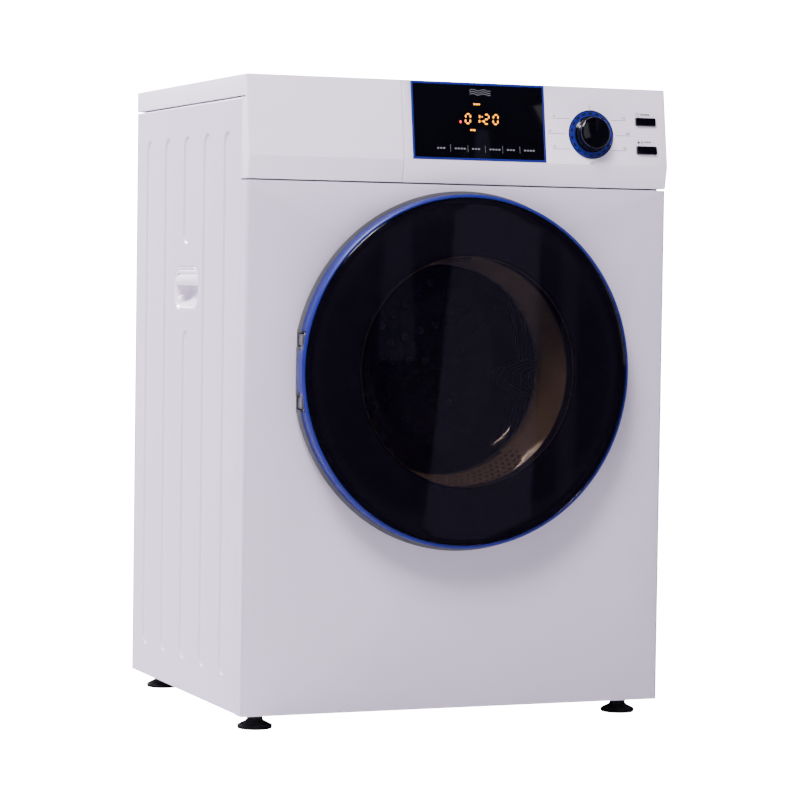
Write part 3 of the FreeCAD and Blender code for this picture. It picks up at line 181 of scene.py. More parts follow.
def add_card(name, corners, strength):
    """Upright glowing board in front of the dryer that only reflections see; corners are (x, z) pairs."""
    bm = bmesh.new()
    verts = [bm.verts.new((x, FRONT - CARDS_AHEAD, z)) for x, z in corners]
    bm.faces.new(verts)
    card = add_mesh(name, bm)
    glow = {"Base Color": (0, 0, 0, 1), "Specular IOR Level": 0,
            "Emission Color": (0.62, 0.58, 1.0, 1), "Emission Strength": strength}
    card.data.materials.append(new_material(name + "_glow", glow)[0])
    card.visible_camera = False
    card.visible_diffuse = False
    card.visible_shadow = False


def add_world():
    world = bpy.data.worlds.new("room")
    bpy.context.scene.world = world
    world.use_nodes = True
    tree = world.node_tree
    dim = tree.nodes["Background"]
    set_sockets(dim, {"Color": (0.93, 0.89, 1.0, 1), "Strength": 0.20})
    white = add_node(tree, "Background", {"Color": (1, 1, 1, 1), "Strength": 24})
    dark = add_node(tree, "Background", {"Color": (0.08, 0.07, 0.18, 1), "Strength": 0.10})
    path = add_node(tree, "LightPath")
    lit = mixed(tree, path.outputs["Is Glossy Ray"], dim.outputs[0], dark.outputs[0])
    seen = mixed(tree, path.outputs["Is Camera Ray"], lit, white.outputs[0])
    tree.links.new(seen, tree.nodes["World Output"].inputs["Surface"])


add_camera()
add_world()
add_floor()
MIDDLE = (0, 0, 0.45)
add_lamp("key_lamp", (-1.25, -1.7, 3.3), MIDDLE, 1.2, 1.2, 230, (1.0, 0.96, 1.0))
add_lamp("side_lamp", (-1.75, 2.7, 2.5), MIDDLE, 1.2, 1.2, 520, (1.0, 0.95, 1.0))
add_lamp("right_lamp", (3.2, -2.0, 1.4), MIDDLE, 1.6, 2.0, 6, (0.97, 0.93, 1.0))
add_lamp("back_lamp", (0.8, 3.6, 2.4), MIDDLE, 2.0, 2.0, 60, (1.0, 1.0, 1.0))
add_card("wide_card", ((0.80, -0.7), (1.20, -0.7), (1.24, 1.4), (1.00, 1.4)), 0.22)
add_card("slim_card", ((1.30, -0.5), (1.36, -0.5), (1.36, 0.85), (1.30, 0.85)), 0.10)
add_card("far_card", ((0.70, 0.42), (0.82, 0.42), (0.80, 0.90), (0.73, 0.90)), 0.12)

# ---------------- side panels
# The sides are one sheet of white enamelled steel each, bent in at all four
# edges and stiffened by five pressed ribs with round ends. The paint is even,
# with the faint orange peel that a sprayed sheet has.


def noise(tree, scale, detail=3.0, stretch=(1, 1, 1)):
    """Noise on object coordinates, scaled along each axis."""
    place = add_node(tree, "TexCoord")
    mapping = add_node(tree, "Mapping", {"Scale": stretch})
    texture = add_node(tree, "TexNoise", {"Scale": scale, "Detail": detail})
    tree.links.new(place.outputs["Object"], mapping.inputs["Vector"])
    tree.links.new(mapping.outputs["Vector"], texture.inputs["Vector"])
    return texture


def add_bump(tree, shader, texture, strength, height):
    bump = add_node(tree, "Bump", {"Strength": strength, "Distance": height})
    tree.links.new(texture.outputs["Fac"], bump.inputs["Height"])
    tree.links.new(bump.outputs["Normal"], shader.inputs["Normal"])


def add_spread(tree, texture, target, low, high):
    """Noise remapped to a range and fed to a roughness socket."""
    spread = add_node(tree, "MapRange", {"To Min": low, "To Max": high})
    tree.links.new(texture.outputs["Fac"], spread.inputs["Value"])
    tree.links.new(spread.outputs["Result"], target)


def add_tint(tree, shader, texture, first, second):
    """Slow change between two close colours."""
    ramp = add_node(tree, "ValToRGB")
    for stop, position, colour in zip(ramp.color_ramp.elements, (0.35, 0.65), (first, second)):
        stop.position = position
        stop.color = (*colour, 1)
    tree.links.new(texture.outputs["Fac"], ramp.inputs["Fac"])
    tree.links.new(ramp.outputs["Color"], shader.inputs["Base Color"])


def coated(name, first, second, rough_low, rough_high, grain, bump, coat=0.0):
    """Painted or moulded finish: two close colours, uneven gloss and a fine grain."""
    material, tree, shader = new_material(name, {"Coat Weight": coat, "Coat Roughness": 0.12})
    add_tint(tree, shader, noise(tree, 7, 2), first, second)
    add_spread(tree, noise(tree, 30, 4), shader.inputs["Roughness"], rough_low, rough_high)
    add_bump(tree, shader, noise(tree, grain, 2), bump, 0.0004)
    return material


WHITE_ENAMEL = coated("white_enamel", (0.62, 0.565, 0.71), (0.635, 0.58, 0.725),
                      0.30, 0.38, 420, 0.10, coat=0.25)


def paint(piece, material):
    piece.data.materials.clear()
    piece.data.materials.append(material)


def dressed(piece, node, material, body):
    """Painted piece that stands for a node and rides on a body."""
    paint(piece, material)
    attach(piece, body)
    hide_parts(node)


def shade(piece, angle=35):
    """Smooth shading that keeps edges sharper than the angle."""
    mesh = piece.data
    mesh.polygons.foreach_set("use_smooth", [True] * len(mesh.polygons))
    mesh.set_sharp_from_angle(angle=math.radians(angle))


def round_edges(bm, edges, width, segments):
    bmesh.ops.bevel(bm, geom=edges, offset=width, segments=segments, profile=0.5, affect="EDGES",
                    clamp_overlap=True, material=-1)


def anywhere(first, second):
    return True


def soften(node, material, bevels, angle=25):
    """Merged and painted copy of a CAD node with its sharp edges rounded, standing for the node.

    bevels is a list of (test of an edge's two ends, width, segments)."""
    bm = bmesh.new()
    bm.from_mesh(nodes[node].data)
    bmesh.ops.remove_doubles(bm, verts=bm.verts, dist=2e-6)
    bmesh.ops.dissolve_limit(bm, angle_limit=math.radians(0.4), verts=bm.verts, edges=bm.edges)
    for test, width, segments in bevels:
        edges = [
            edge for edge in bm.edges
            if len(edge.link_faces) == 2
            and edge.calc_face_angle(0) > math.radians(angle)
            and test(edge.verts[0].co, edge.verts[1].co)
        ]
        round_edges(bm, edges, width, segments)
    bmesh.ops.dissolve_degenerate(bm, dist=1e-6, edges=bm.edges)
    bmesh.ops.triangulate(bm, faces=[face for face in bm.faces if len(face.verts) > 4])
    piece = add_mesh(node + "_skin", bm)
    shade(piece)
    dressed(piece, node, material, nodes[node]["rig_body"])
    return piece


RIB_DEPTH = 0.002
RIB_HALF = 0.0160
RIB_SLOPE = 0.0034
SEAM_ROOM = 0.0034
SHEET_THICK = 0.0009
EDGE_ROUND = 0.0035
CABINET_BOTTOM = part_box("left_side_panel")[0].z
GRIP_LOW, GRIP_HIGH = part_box("hand_grips")
GRIP_MIDDLE = ((GRIP_LOW.y + GRIP_HIGH.y) / 2, CABINET_BOTTOM + 0.5478)
GRIP_OUTLINE = (0.0541, 0.0290, 0.0240)
RIB_PLACES = [FRONT + 0.080 + 0.0857 * index for index in range(5)]
RIB_ENDS = (CABINET_BOTTOM + 0.043, CABINET_BOTTOM + 0.7535)
RIB_BREAK = (CABINET_BOTTOM + 0.491, CABINET_BOTTOM + 0.607)


def rib_spans():
    spans = []
    for index, middle in enumerate(RIB_PLACES):
        if index == 2:
            spans.append((middle, RIB_ENDS[0], RIB_BREAK[0]))
            spans.append((middle, RIB_BREAK[1], RIB_ENDS[1]))
        else:
            spans.append((middle, RIB_ENDS[0], RIB_ENDS[1]))
    return spans


def side_loop(bm, x, centre, half_y, half_z, radius, corner_steps=8):
    """Corners of a round-cornered outline, upright at one x, always the same number of them."""
    verts = []
    radius = min(radius, half_y, half_z)
    for corner, (sign_y, sign_z) in enumerate(((1, 1), (-1, 1), (-1, -1), (1, -1))):
        for step in range(corner_steps + 1):
            angle = math.pi / 2 * (corner + step / corner_steps)
            verts.append(bm.verts.new((
                x,
                centre[0] + sign_y * (half_y - radius) + radius * math.cos(angle),
                centre[1] + sign_z * (half_z - radius) + radius * math.sin(angle),
            )))
    return verts


def join_loops(bm, loops):
    """Strips of faces between neighbouring outlines."""
    for first, second in zip(loops, loops[1:]):
        count = len(first)
        for index in range(count):
            after = (index + 1) % count
            bm.faces.new((first[index], first[after], second[after], second[index]))


def side_patches():
    """Flat frames round each rib and the grip, as (centre, half depth, half height, outline radius)."""
    patches = []
    for middle, low, high in rib_spans():
        patches.append(((middle, (low + high) / 2), RIB_HALF, (high - low) / 2, RIB_HALF))
    patches.append((GRIP_MIDDLE, *GRIP_OUTLINE))
    return patches


def rib_loops(bm, x, hand, centre, half_y, half_z):
    """A narrow curved slope from the sheet down to the rib's flat floor."""
    steps = [(-0.0012, 0.0)]
    for share in (0.0, 0.2, 0.4, 0.6, 0.8, 1.0):
        steps.append((RIB_SLOPE * share, RIB_DEPTH * share * share * (3 - 2 * share)))
    steps.append((RIB_SLOPE + 0.0012, RIB_DEPTH))
    loops = [side_loop(bm, x - hand * sink, centre, half_y - inset, half_z - inset, half_y - inset)
             for inset, sink in steps]
    join_loops(bm, loops)
    bm.faces.new(loops[-1])
    return loops[0]


def hole_loops(bm, x, hand, centre, half_y, half_z, radius):
    """The grip's hole, with a rolled edge that turns in."""
    loops = [side_loop(bm, x - hand * sink, centre, half_y + grow, half_z + grow, radius + grow)
             for sink, grow in ((0.0, 0.0022), (0.0, 0.0010), (0.0002, 0.0004), (0.0008, 0.0), (0.0018, 0.0))]
    join_loops(bm, loops)
    return loops[0]


def close_seams(bm):
    """Splits each open edge where another open corner lies on it, and merges the two."""
    bmesh.ops.remove_doubles(bm, verts=bm.verts, dist=2e-6)
    corners = [vert for vert in bm.verts if any(edge.is_boundary for edge in vert.link_edges)]
    for corner in corners:
        for edge in [item for item in bm.edges if item.is_boundary and corner not in item.verts]:
            start, run = edge.verts[0].co, edge.verts[1].co - edge.verts[0].co
            along = (corner.co - start).dot(run) / run.length_squared
            if 1e-4 < along < 1 - 1e-4 and (start + run * along - corner.co).length < 2e-6:
                bmesh.utils.edge_split(edge, edge.verts[0], along)
                break
    bmesh.ops.remove_doubles(bm, verts=bm.verts, dist=2e-6)


def face_sideways(bm, faces, hand):
    """Makes the normals agree, and turns them to the hand's side."""
    bmesh.ops.recalc_face_normals(bm, faces=faces)
    if sum(face.normal.x * hand * face.calc_area() for face in faces) < 0:
        bmesh.ops.reverse_faces(bm, faces=faces)


def walled(name, bm, thickness, angle, node, material):
    """Open sheet given its wall inwards, in a cabinet node's place."""
    piece = add_mesh(name, bm)
    wall = piece.modifiers.new("wall", "SOLIDIFY")
    wall.thickness = thickness
    wall.offset = -1
    shade(piece, angle)
    dressed(piece, node, material, "cabinet")


def side_sheet(name, node, hand):
    """hand is -1 for the left side and 1 for the right side."""
    low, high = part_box(node)
    outside = low.x if hand < 0 else high.x
    centre = ((low.y + high.y) / 2, (low.z + high.z) / 2)
    half = ((high.y - low.y) / 2, (high.z - low.z) / 2)
    bm = bmesh.new()
    flat_y, flat_z = half[0] - EDGE_ROUND, half[1] - EDGE_ROUND
    bm.faces.new([bm.verts.new((outside, centre[0] + y * flat_y, centre[1] + z * flat_z))
                  for y, z in ((-1, -1), (1, -1), (1, 1), (-1, 1))])
    frames = [(spot, half_y + SEAM_ROOM, half_z + SEAM_ROOM) for spot, half_y, half_z, _ in side_patches()]
    for spot, half_y, half_z in frames:
        for axis, place in (((0, 1, 0), spot[0] - half_y), ((0, 1, 0), spot[0] + half_y),
                            ((0, 0, 1), spot[1] - half_z), ((0, 0, 1), spot[1] + half_z)):
            everything = bm.verts[:] + bm.edges[:] + bm.faces[:]
            bmesh.ops.bisect_plane(bm, geom=everything, dist=1e-7, plane_no=axis,
                                   plane_co=Vector(axis) * place)
    taken = []
    for face in bm.faces:
        middle = face.calc_center_median()
        if any(abs(middle.y - spot[0]) < half_y and abs(middle.z - spot[1]) < half_z
               for spot, half_y, half_z in frames):
            taken.append(face)
    bmesh.ops.delete(bm, geom=taken, context="FACES")
    for spot, half_y, half_z, radius in side_patches():
        frame_loop = side_loop(bm, outside, spot, half_y + SEAM_ROOM, half_z + SEAM_ROOM, 1e-7)
        if radius == RIB_HALF:
            inner = rib_loops(bm, outside, hand, spot, half_y, half_z)
        else:
            inner = hole_loops(bm, outside, hand, spot, half_y, half_z, radius)
        join_loops(bm, [frame_loop, inner])
    edge_loops = []
    for inward, inset, radius in ((0.0135, 0.0, 0.0022), (0.0020, 0.0, 0.0022), (0.0010, 0.00025, 0.0022),
                                  (0.00025, 0.0010, 0.0020), (0.0, 0.0020, 0.0012), (0.0, EDGE_ROUND, 1e-7)):
        edge_loops.append(side_loop(bm, outside - hand * inward, centre, half[0] - inset, half[1] - inset,
                                    radius, corner_steps=4))
    join_loops(bm, edge_loops)
    close_seams(bm)
    bmesh.ops.dissolve_degenerate(bm, dist=1e-7, edges=bm.edges)
    face_sideways(bm, bm.faces[:], hand)
    walled(name, bm, SHEET_THICK, 60, node, WHITE_ENAMEL)


side_sheet("left_side_sheet", "left_side_panel", -1)
side_sheet("right_side_sheet", "right_side_panel", 1)

# ---------------- hand grips
# Each grip is a white cup set into the side from inside. It has a rounded rim,
# a hood over its upper part, and a scoop below it that slopes inwards.

WHITE_PLASTIC = coated("white_plastic", (0.87, 0.80, 0.95), (0.88, 0.81, 0.96),
                       0.26, 0.34, 600, 0.06, coat=0.35)
CUP_TOP = 0.0252
CUP_WALL = 0.0010
CUP_CORNER = 0.0205
HOOD_LIP = 0.0040


CUP_RIM = (
    (0.0060, 0.0537, 0.0286, 0.0236), (0.0009, 0.0537, 0.0286, 0.0236),
    (0.0003, 0.0534, 0.0283, 0.0233), (0.0001, 0.0529, 0.0278, 0.0230),
    (0.0003, 0.0522, 0.0271, 0.0224), (0.0012, 0.0512, 0.0260, 0.0216),
)
CUP_SCOOP = (
    (0.0022, 0.0502, -0.0250, 0.0205), (0.0060, 0.0498, -0.0232, 0.0200),
    (0.0110, 0.0492, -0.0195, 0.0190), (0.0160, 0.0484, -0.0145, 0.0175),
    (0.0210, 0.0470, -0.0080, 0.0155), (0.0245, 0.0450, -0.0010, 0.0120),
    (0.0262, 0.0430, 0.0060, 0.0090), (0.0266, 0.0380, 0.0120, 0.0060),
)


def cup_loops(bm, face, hand):
    """Rounded rim, then a scoop whose floor climbs as it goes in, from outline sizes in order inwards."""
    loops = [side_loop(bm, face - hand * inward, GRIP_MIDDLE, half_y, half_z, radius)
             for inward, half_y, half_z, radius in CUP_RIM]
    for inward, half_y, floor, radius in CUP_SCOOP:
        centre = (GRIP_MIDDLE[0], GRIP_MIDDLE[1] + (CUP_TOP + floor) / 2)
        loops.append(side_loop(bm, face - hand * inward, centre, half_y, (CUP_TOP - floor) / 2, radius))
    join_loops(bm, loops)
    bm.faces.new(loops[-1])
    bmesh.ops.remove_doubles(bm, verts=bm.verts, dist=1e-6)


def hood(bm, face, hand):
    """Curved plate across the upper part, cut to the cup's round corners."""
    profile = [(0.0012, 0.0249), (0.0009, 0.0225), (0.0030, 0.0205), (0.0042, 0.0195), (0.0034, 0.0180),
               (0.0018, 0.0155), (0.0011, 0.0120), (0.0013, 0.0085), (0.0024, 0.0058), (0.0044, HOOD_LIP),
               (0.0062, HOOD_LIP + 0.0004), (0.0075, HOOD_LIP + 0.0016), (0.0120, 0.0080), (0.0200, 0.0120)]
    columns = 28
    before = set(bm.verts)
    made = bmesh.ops.create_grid(bm, x_segments=columns, y_segments=len(profile) - 1, size=0.5)["verts"]
    for vert in made:
        row = round((vert.co.y + 0.5) * (len(profile) - 1))
        inward, tall = profile[row]
        corner = max(tall - (0.0250 - CUP_CORNER), 0)
        half = 0.0499 - CUP_CORNER + math.sqrt(max(CUP_CORNER ** 2 - corner ** 2, 0))
        vert.co = Vector((face - hand * inward, GRIP_MIDDLE[0] + 2 * vert.co.x * half, GRIP_MIDDLE[1] + tall))
    face_sideways(bm, [item for item in bm.faces if item.verts[0] not in before], hand)


def hand_cup(hand):
    face = hand * LID_HIGH.x
    bm = bmesh.new()
    cup_loops(bm, face, hand)
    face_sideways(bm, bm.faces[:], hand)
    hood(bm, face, hand)
    name = "hand_cup_left" if hand < 0 else "hand_cup_right"
    walled(name, bm, CUP_WALL, 50, "hand_grips", WHITE_PLASTIC)


for side_hand in (-1, 1):
    hand_cup(side_hand)

# ---------------- front panel
# The front is one enamelled sheet, bent round at both sides with a small
# radius, with short inward edges and a round hole for the drum port. Its top
# stops short of the fascia, which leaves a dark shadow gap.


def on_front_corner(first, second):
    """Upright outer edges of the front."""
    upright = abs(first.z - second.z) > 0.5
    return upright and abs(first.y - FRONT) < 1e-4 and abs(abs(first.x) - PANEL_HIGH.x) < 1e-4


def on_front_face(first, second):
    return abs(first.y - FRONT) < 1e-4 and abs(second.y - FRONT) < 1e-4


SHADOW_GAP = 0.0014
PANEL_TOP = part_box("front_panel")[1].z
front_sheet = soften("front_panel", WHITE_ENAMEL,
                     [(on_front_corner, 0.0045, 6), (on_front_face, 0.0007, 2)])
bm = bmesh.new()
bm.from_mesh(front_sheet.data)
top_edge = [vert for vert in bm.verts if vert.co.z > PANEL_TOP - 0.004]
bmesh.ops.translate(bm, vec=(0, 0, -SHADOW_GAP), verts=top_edge)
bm.to_mesh(front_sheet.data)
bm.free()

# ---------------- worktop
# The worktop is a moulded white frame with rounded corners round a laminated
# board. It overhangs a shadow gap above the sides.

LAMINATE = coated("worktop_laminate", (0.79, 0.73, 0.88), (0.805, 0.745, 0.89),
                  0.40, 0.50, 900, 0.16)


def on_lid_corner(first, second):
    upright = abs(first.z - second.z) > 0.02
    outer = abs(abs(first.x) - LID_HIGH.x) < 1e-4
    return upright and outer and (abs(first.y - LID_HIGH.y) < 1e-4)


def on_lid_outside(first, second):
    return all(abs(abs(end.x) - LID_HIGH.x) < 0.004 or abs(end.y - LID_HIGH.y) < 0.004
               for end in (first, second))


soften("worktop_frame", WHITE_PLASTIC,
       [(on_lid_corner, 0.006, 6), (on_lid_outside, 0.0016, 4)])
soften("worktop_board", LAMINATE, [(anywhere, 0.0008, 2)])

# ---------------- fascia
# The fascia is moulded in two pieces that meet left of the display: a plain
# piece that wraps the left corner, and the control piece. It leans back, with
# a soft crease over a bevelled chin.


def on_crease(first, second):
    return abs(first.x - second.x) > 0.02 and first.y < FRONT + 0.013


FASCIA_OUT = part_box("fascia_panel")[1].x


def on_fascia_end(first, second):
    outer = all(abs(abs(end.x) - FASCIA_OUT) < 1e-4 for end in (first, second))
    return outer and min(first.y, second.y) < FRONT + 0.010


for fascia_node in ("fascia_blank", "fascia_panel"):
    soften(fascia_node, WHITE_PLASTIC,
           [(on_fascia_end, 0.0030, 5), (on_crease, 0.0012, 3)], angle=8)

# ---------------- display
# A black gloss lens sits in a blue moulded rim, level with the leaning face.
# Lit segments show through it, over a row of printed touch keys.

FACE_TOP = Vector((0, FRONT + 0.0085, LID_HIGH.z))
FACE_LEAN = math.atan2(14.5, 103.9)


def on_face(across, down, out):
    """Matrix at a place on the leaning face: X right, Y up the face, Z outwards."""
    up = Vector((0, math.sin(FACE_LEAN), math.cos(FACE_LEAN)))
    outward = Vector((0, -math.cos(FACE_LEAN), math.sin(FACE_LEAN)))
    place = FACE_TOP + Vector((across, 0, 0)) - up * down + outward * out
    return Matrix.Translation(place) @ Matrix((Vector((1, 0, 0)), up, outward)).transposed().to_4x4()


def gloss(name, colour, roughness, coat=0.5, metallic=0.0, grain=300, bump=0.03):
    """Even gloss finish with a little unevenness in its sheen."""
    material, tree, shader = new_material(
        name, {"Metallic": metallic, "Coat Weight": coat, "Coat Roughness": 0.05})
    darker = tuple(channel * 0.88 for channel in colour)
    add_tint(tree, shader, noise(tree, 14, 2), darker, colour)
    add_spread(tree, noise(tree, 45, 4), shader.inputs["Roughness"], roughness * 0.8, roughness * 1.3)
    add_bump(tree, shader, noise(tree, grain, 2), bump, 0.0002)
    return material


def glowing(name, colour, strength):
    material, tree, shader = new_material(
        name, {"Emission Color": (*colour, 1), "Emission Strength": strength, "Roughness": 0.4})
    add_tint(tree, shader, noise(tree, 60, 2), tuple(0.8 * channel for channel in colour), colour)
    return material


BLUE_TRIM = gloss("blue_trim", (0.006, 0.012, 0.21), 0.4, coat=0.0)
BLACK_GLOSS = gloss("black_gloss", (0.0015, 0.0015, 0.003), 0.07, coat=0.3, bump=0.003)
ORANGE_GLOW = glowing("segment_light", (1.0, 0.34, 0.02), 3.2)
RED_GLOW = glowing("red_light", (1.0, 0.04, 0.03), 2.2)
KEY_PRINT = coated("key_print", (0.16, 0.16, 0.19), (0.19, 0.19, 0.22), 0.4, 0.5, 500, 0.02)

soften("display_bezel", BLUE_TRIM, [(anywhere, 0.0009, 3)])
soften("display_lens", BLACK_GLOSS, [(anywhere, 0.0003, 2)])

LENS_OUT = 0.00084
BAR_THICK = 0.00025
PRINT_THICK = 0.0001
READOUT_ACROSS, READOUT_DOWN = 0.0265, 0.0485
SEGMENTS = {
    "0": "abcdef", "1": "bc", "2": "abged", "3": "abgcd", "4": "fgbc",
    "5": "afgcd", "6": "afgedc", "7": "abc", "8": "abcdefg", "9": "abcdfg",
}


def add_bar(bm, centre, wide, tall, thick, bevel=0.0):
    """Small flat bar added to a bmesh; its ends are chamfered."""
    made = bmesh.ops.create_cube(bm, size=1)["verts"]
    bmesh.ops.scale(bm, vec=(wide, tall, thick), verts=made)
    bmesh.ops.translate(bm, vec=(centre[0], centre[1], thick / 2), verts=made)
    if bevel:
        edges = list({edge for vert in made for edge in vert.link_edges
                      if abs(edge.verts[0].co.z - edge.verts[1].co.z) > thick / 2})
        round_edges(bm, edges, bevel, 1)


def turned_bars(bm, count, first, step, centre, wide, tall, thick, bevel=0.0):
    """Bars round a centre, at even angles in degrees from the first."""
    for index in range(count):
        before = set(bm.verts)
        add_bar(bm, centre, wide, tall, thick, bevel)
        fresh = [vert for vert in bm.verts if vert not in before]
        turn = Matrix.Rotation(math.radians(first + step * index), 3, "Z")
        bmesh.ops.rotate(bm, verts=fresh, matrix=turn)


def place_on_face(name, bm, across, down, out, material, body="cabinet"):
    bmesh.ops.transform(bm, matrix=on_face(across, down, out), verts=bm.verts)
    piece = add_mesh(name, bm)
    paint(piece, material)
    shade(piece, 40)
    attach(piece, body)
    return piece


def digit_bars(bm, digit, left, low, wide, tall, stroke):
    """Seven-segment digit, slanted a little, from its lower left corner."""
    half = tall / 2
    long_bar, side_bar = wide - stroke * 1.2, half - stroke * 1.2
    places = {
        "a": (wide / 2, tall, long_bar, stroke), "g": (wide / 2, half, long_bar, stroke),
        "d": (wide / 2, 0, long_bar, stroke), "f": (0, half * 1.5, stroke, side_bar),
        "b": (wide, half * 1.5, stroke, side_bar), "e": (0, half / 2, stroke, side_bar),
        "c": (wide, half / 2, stroke, side_bar),
    }
    for letter in SEGMENTS[digit]:
        x, y, bar_wide, bar_tall = places[letter]
        add_bar(bm, (left + x + 0.08 * y, low + y), bar_wide, bar_tall, BAR_THICK, stroke * 0.42)


def lit_digits():
    bm = bmesh.new()
    for index, digit in enumerate("0120"):
        digit_bars(bm, digit, index * 0.0132 - 0.0235, -0.0062, 0.0066, 0.0124, 0.0019)
    for y in (-0.0030, 0.0030):
        add_bar(bm, (0.0008, y), 0.0016, 0.0016, BAR_THICK, 0.0005)
    place_on_face("lit_digits", bm, READOUT_ACROSS, READOUT_DOWN, LENS_OUT, ORANGE_GLOW)
    bm = bmesh.new()
    for x, y, wide in ((-0.010, 0.0195, 0.0022), (-0.0065, 0.0195, 0.0030), (-0.003, 0.0195, 0.0022),
                       (-0.0155, -0.0150, 0.0030), (-0.0115, -0.0150, 0.0036)):
        add_bar(bm, (x, y), wide, 0.0022, BAR_THICK, 0.0006)
    place_on_face("lit_marks", bm, READOUT_ACROSS, READOUT_DOWN, LENS_OUT, ORANGE_GLOW)
    bm = bmesh.new()
    add_bar(bm, (0, 0), 0.0026, 0.0040, BAR_THICK, 0.001)
    place_on_face("red_mark", bm, -0.0040, 0.0530, LENS_OUT, RED_GLOW)


def touch_keys():
    """Six printed keys with thin lines between them, and three printed waves over the readout."""
    bm = bmesh.new()
    pitch, first = 0.0248, -0.0320
    for index in range(6):
        middle = first + index * pitch
        for step in range(3 + index % 2):
            add_bar(bm, (middle + (step - 1.2) * 0.0042, 0), 0.0031, 0.0021, PRINT_THICK, 0.0006)
        if index < 5:
            add_bar(bm, (middle + pitch / 2, 0.0002), 0.0004, 0.0095, PRINT_THICK)
    place_on_face("touch_keys", bm, 0.0, 0.0885, LENS_OUT, KEY_PRINT)
    bm = bmesh.new()
    for wave in range(3):
        steps = 14
        for step in range(steps):
            x = (step / steps - 0.5) * 0.030
            y = 0.0010 * math.sin(step / steps * 4 * math.pi)
            add_bar(bm, (x, y + (wave - 1) * 0.0028), 0.0023, 0.0006, PRINT_THICK)
    place_on_face("air_waves", bm, READOUT_ACROSS, 0.0130, LENS_OUT, KEY_PRINT)


lit_digits()
touch_keys()

# ---------------- programme knob
# The knob is black gloss plastic with a skirt and a flat front. It turns in a
# blue printed ring with bright dashes, edged by a thin bright metal ring.

KNOB_ACROSS, KNOB_DOWN = 0.1845, 0.064
DIAL_THICK = 0.0007
SIGN_THICK = 0.00008
SILVER_TRIM = gloss("silver_trim", (0.62, 0.62, 0.64), 0.22, coat=0.0, metallic=1.0)
GREY_PRINT = coated("grey_print", (0.045, 0.045, 0.06), (0.06, 0.06, 0.075), 0.5, 0.6, 500, 0.02)


def spin_outline(bm, points, steps):
    """Surface turned about Z from (radius, height) points, with its doubles not yet merged."""
    verts = [bm.verts.new((radius, 0, height)) for radius, height in points]
    edges = [bm.edges.new((a, b)) for a, b in zip(verts, verts[1:])]
    bmesh.ops.spin(bm, geom=verts + edges, cent=(0, 0, 0), axis=(0, 0, 1), angle=2 * math.pi,
                   steps=steps, use_merge=True)


def spin_profile(bm, points, steps):
    """Closed surface turned about Z; the ends of its profile lie on the axis or meet."""
    spin_outline(bm, points, steps)
    bmesh.ops.remove_doubles(bm, verts=bm.verts, dist=1e-6)
    bmesh.ops.recalc_face_normals(bm, faces=bm.faces)


def arc_points(centre, radius, start, stop, count):
    """Points on an arc, for a rounded edge in a profile; angles in degrees."""
    spots = []
    for step in range(count + 1):
        angle = math.radians(start + (stop - start) * step / count)
        spots.append((centre[0] + radius * math.cos(angle), centre[1] + radius * math.sin(angle)))
    return spots


def knob():
    bm = bmesh.new()
    profile = [(0, 0.0016), (0.0236, 0.0016)]
    profile += arc_points((0.0238, 0.0024), 0.0008, -90, 0, 3)
    profile += arc_points((0.0236, 0.0036), 0.0010, 0, 90, 4)
    profile += [(0.0230, 0.0048), (0.0222, 0.0054), (0.0218, 0.0066), (0.0212, 0.0142)]
    profile += arc_points((0.0190, 0.0148), 0.0022, 10, 90, 6)
    profile += [(0.0180, 0.0169), (0.0174, 0.0165), (0, 0.0163)]
    spin_profile(bm, profile, 96)
    piece = place_on_face("knob_cap", bm, KNOB_ACROSS, KNOB_DOWN, 0, BLACK_GLOSS, "knob")
    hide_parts("program_knob")
    bm = bmesh.new()
    add_bar(bm, (0, 0.0226), 0.0012, 0.0018, 0.0003, 0.0003)
    bmesh.ops.translate(bm, vec=(0, 0, 0.0046), verts=bm.verts)
    place_on_face("knob_pointer", bm, KNOB_ACROSS, KNOB_DOWN, 0, SILVER_TRIM, "knob")


def dial():
    bm = bmesh.new()
    inner, outer = 0.0225, 0.0318
    outline = [(inner, 0), (inner, DIAL_THICK), (outer, DIAL_THICK), (outer, 0), (inner, 0)]
    spin_profile(bm, outline, 96)
    blue = place_on_face("dial_print", bm, KNOB_ACROSS, KNOB_DOWN, 0, BLUE_TRIM)
    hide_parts("knob_dial_ring")
    bm = bmesh.new()
    spin_profile(bm, [(0.0316, 0), (0.0316, 0.0010), (0.0319, 0.0012), (0.0327, 0.0012), (0.0330, 0.0008),
                      (0.0330, 0), (0.0316, 0)], 96)
    rim = place_on_face("dial_rim", bm, KNOB_ACROSS, KNOB_DOWN, 0, SILVER_TRIM)
    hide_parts("knob_dial_ring")
    bm = bmesh.new()
    turned_bars(bm, 18, 0, 20, (0, 0.0284), 0.0050, 0.0024, 0.00015, 0.0004)
    place_on_face("dial_dashes", bm, KNOB_ACROSS, KNOB_DOWN, DIAL_THICK, SILVER_TRIM)


def printed_digits(name, words, across, down, tall):
    """Small printed numbers, as thin bars laid on the face."""
    bm = bmesh.new()
    for word, x, y in words:
        for index, digit in enumerate(word):
            digit_bars(bm, digit, x + index * tall * 0.85, y, tall * 0.5, tall, tall * 0.14)
    place_on_face(name, bm, across, down, 0.0, GREY_PRINT)


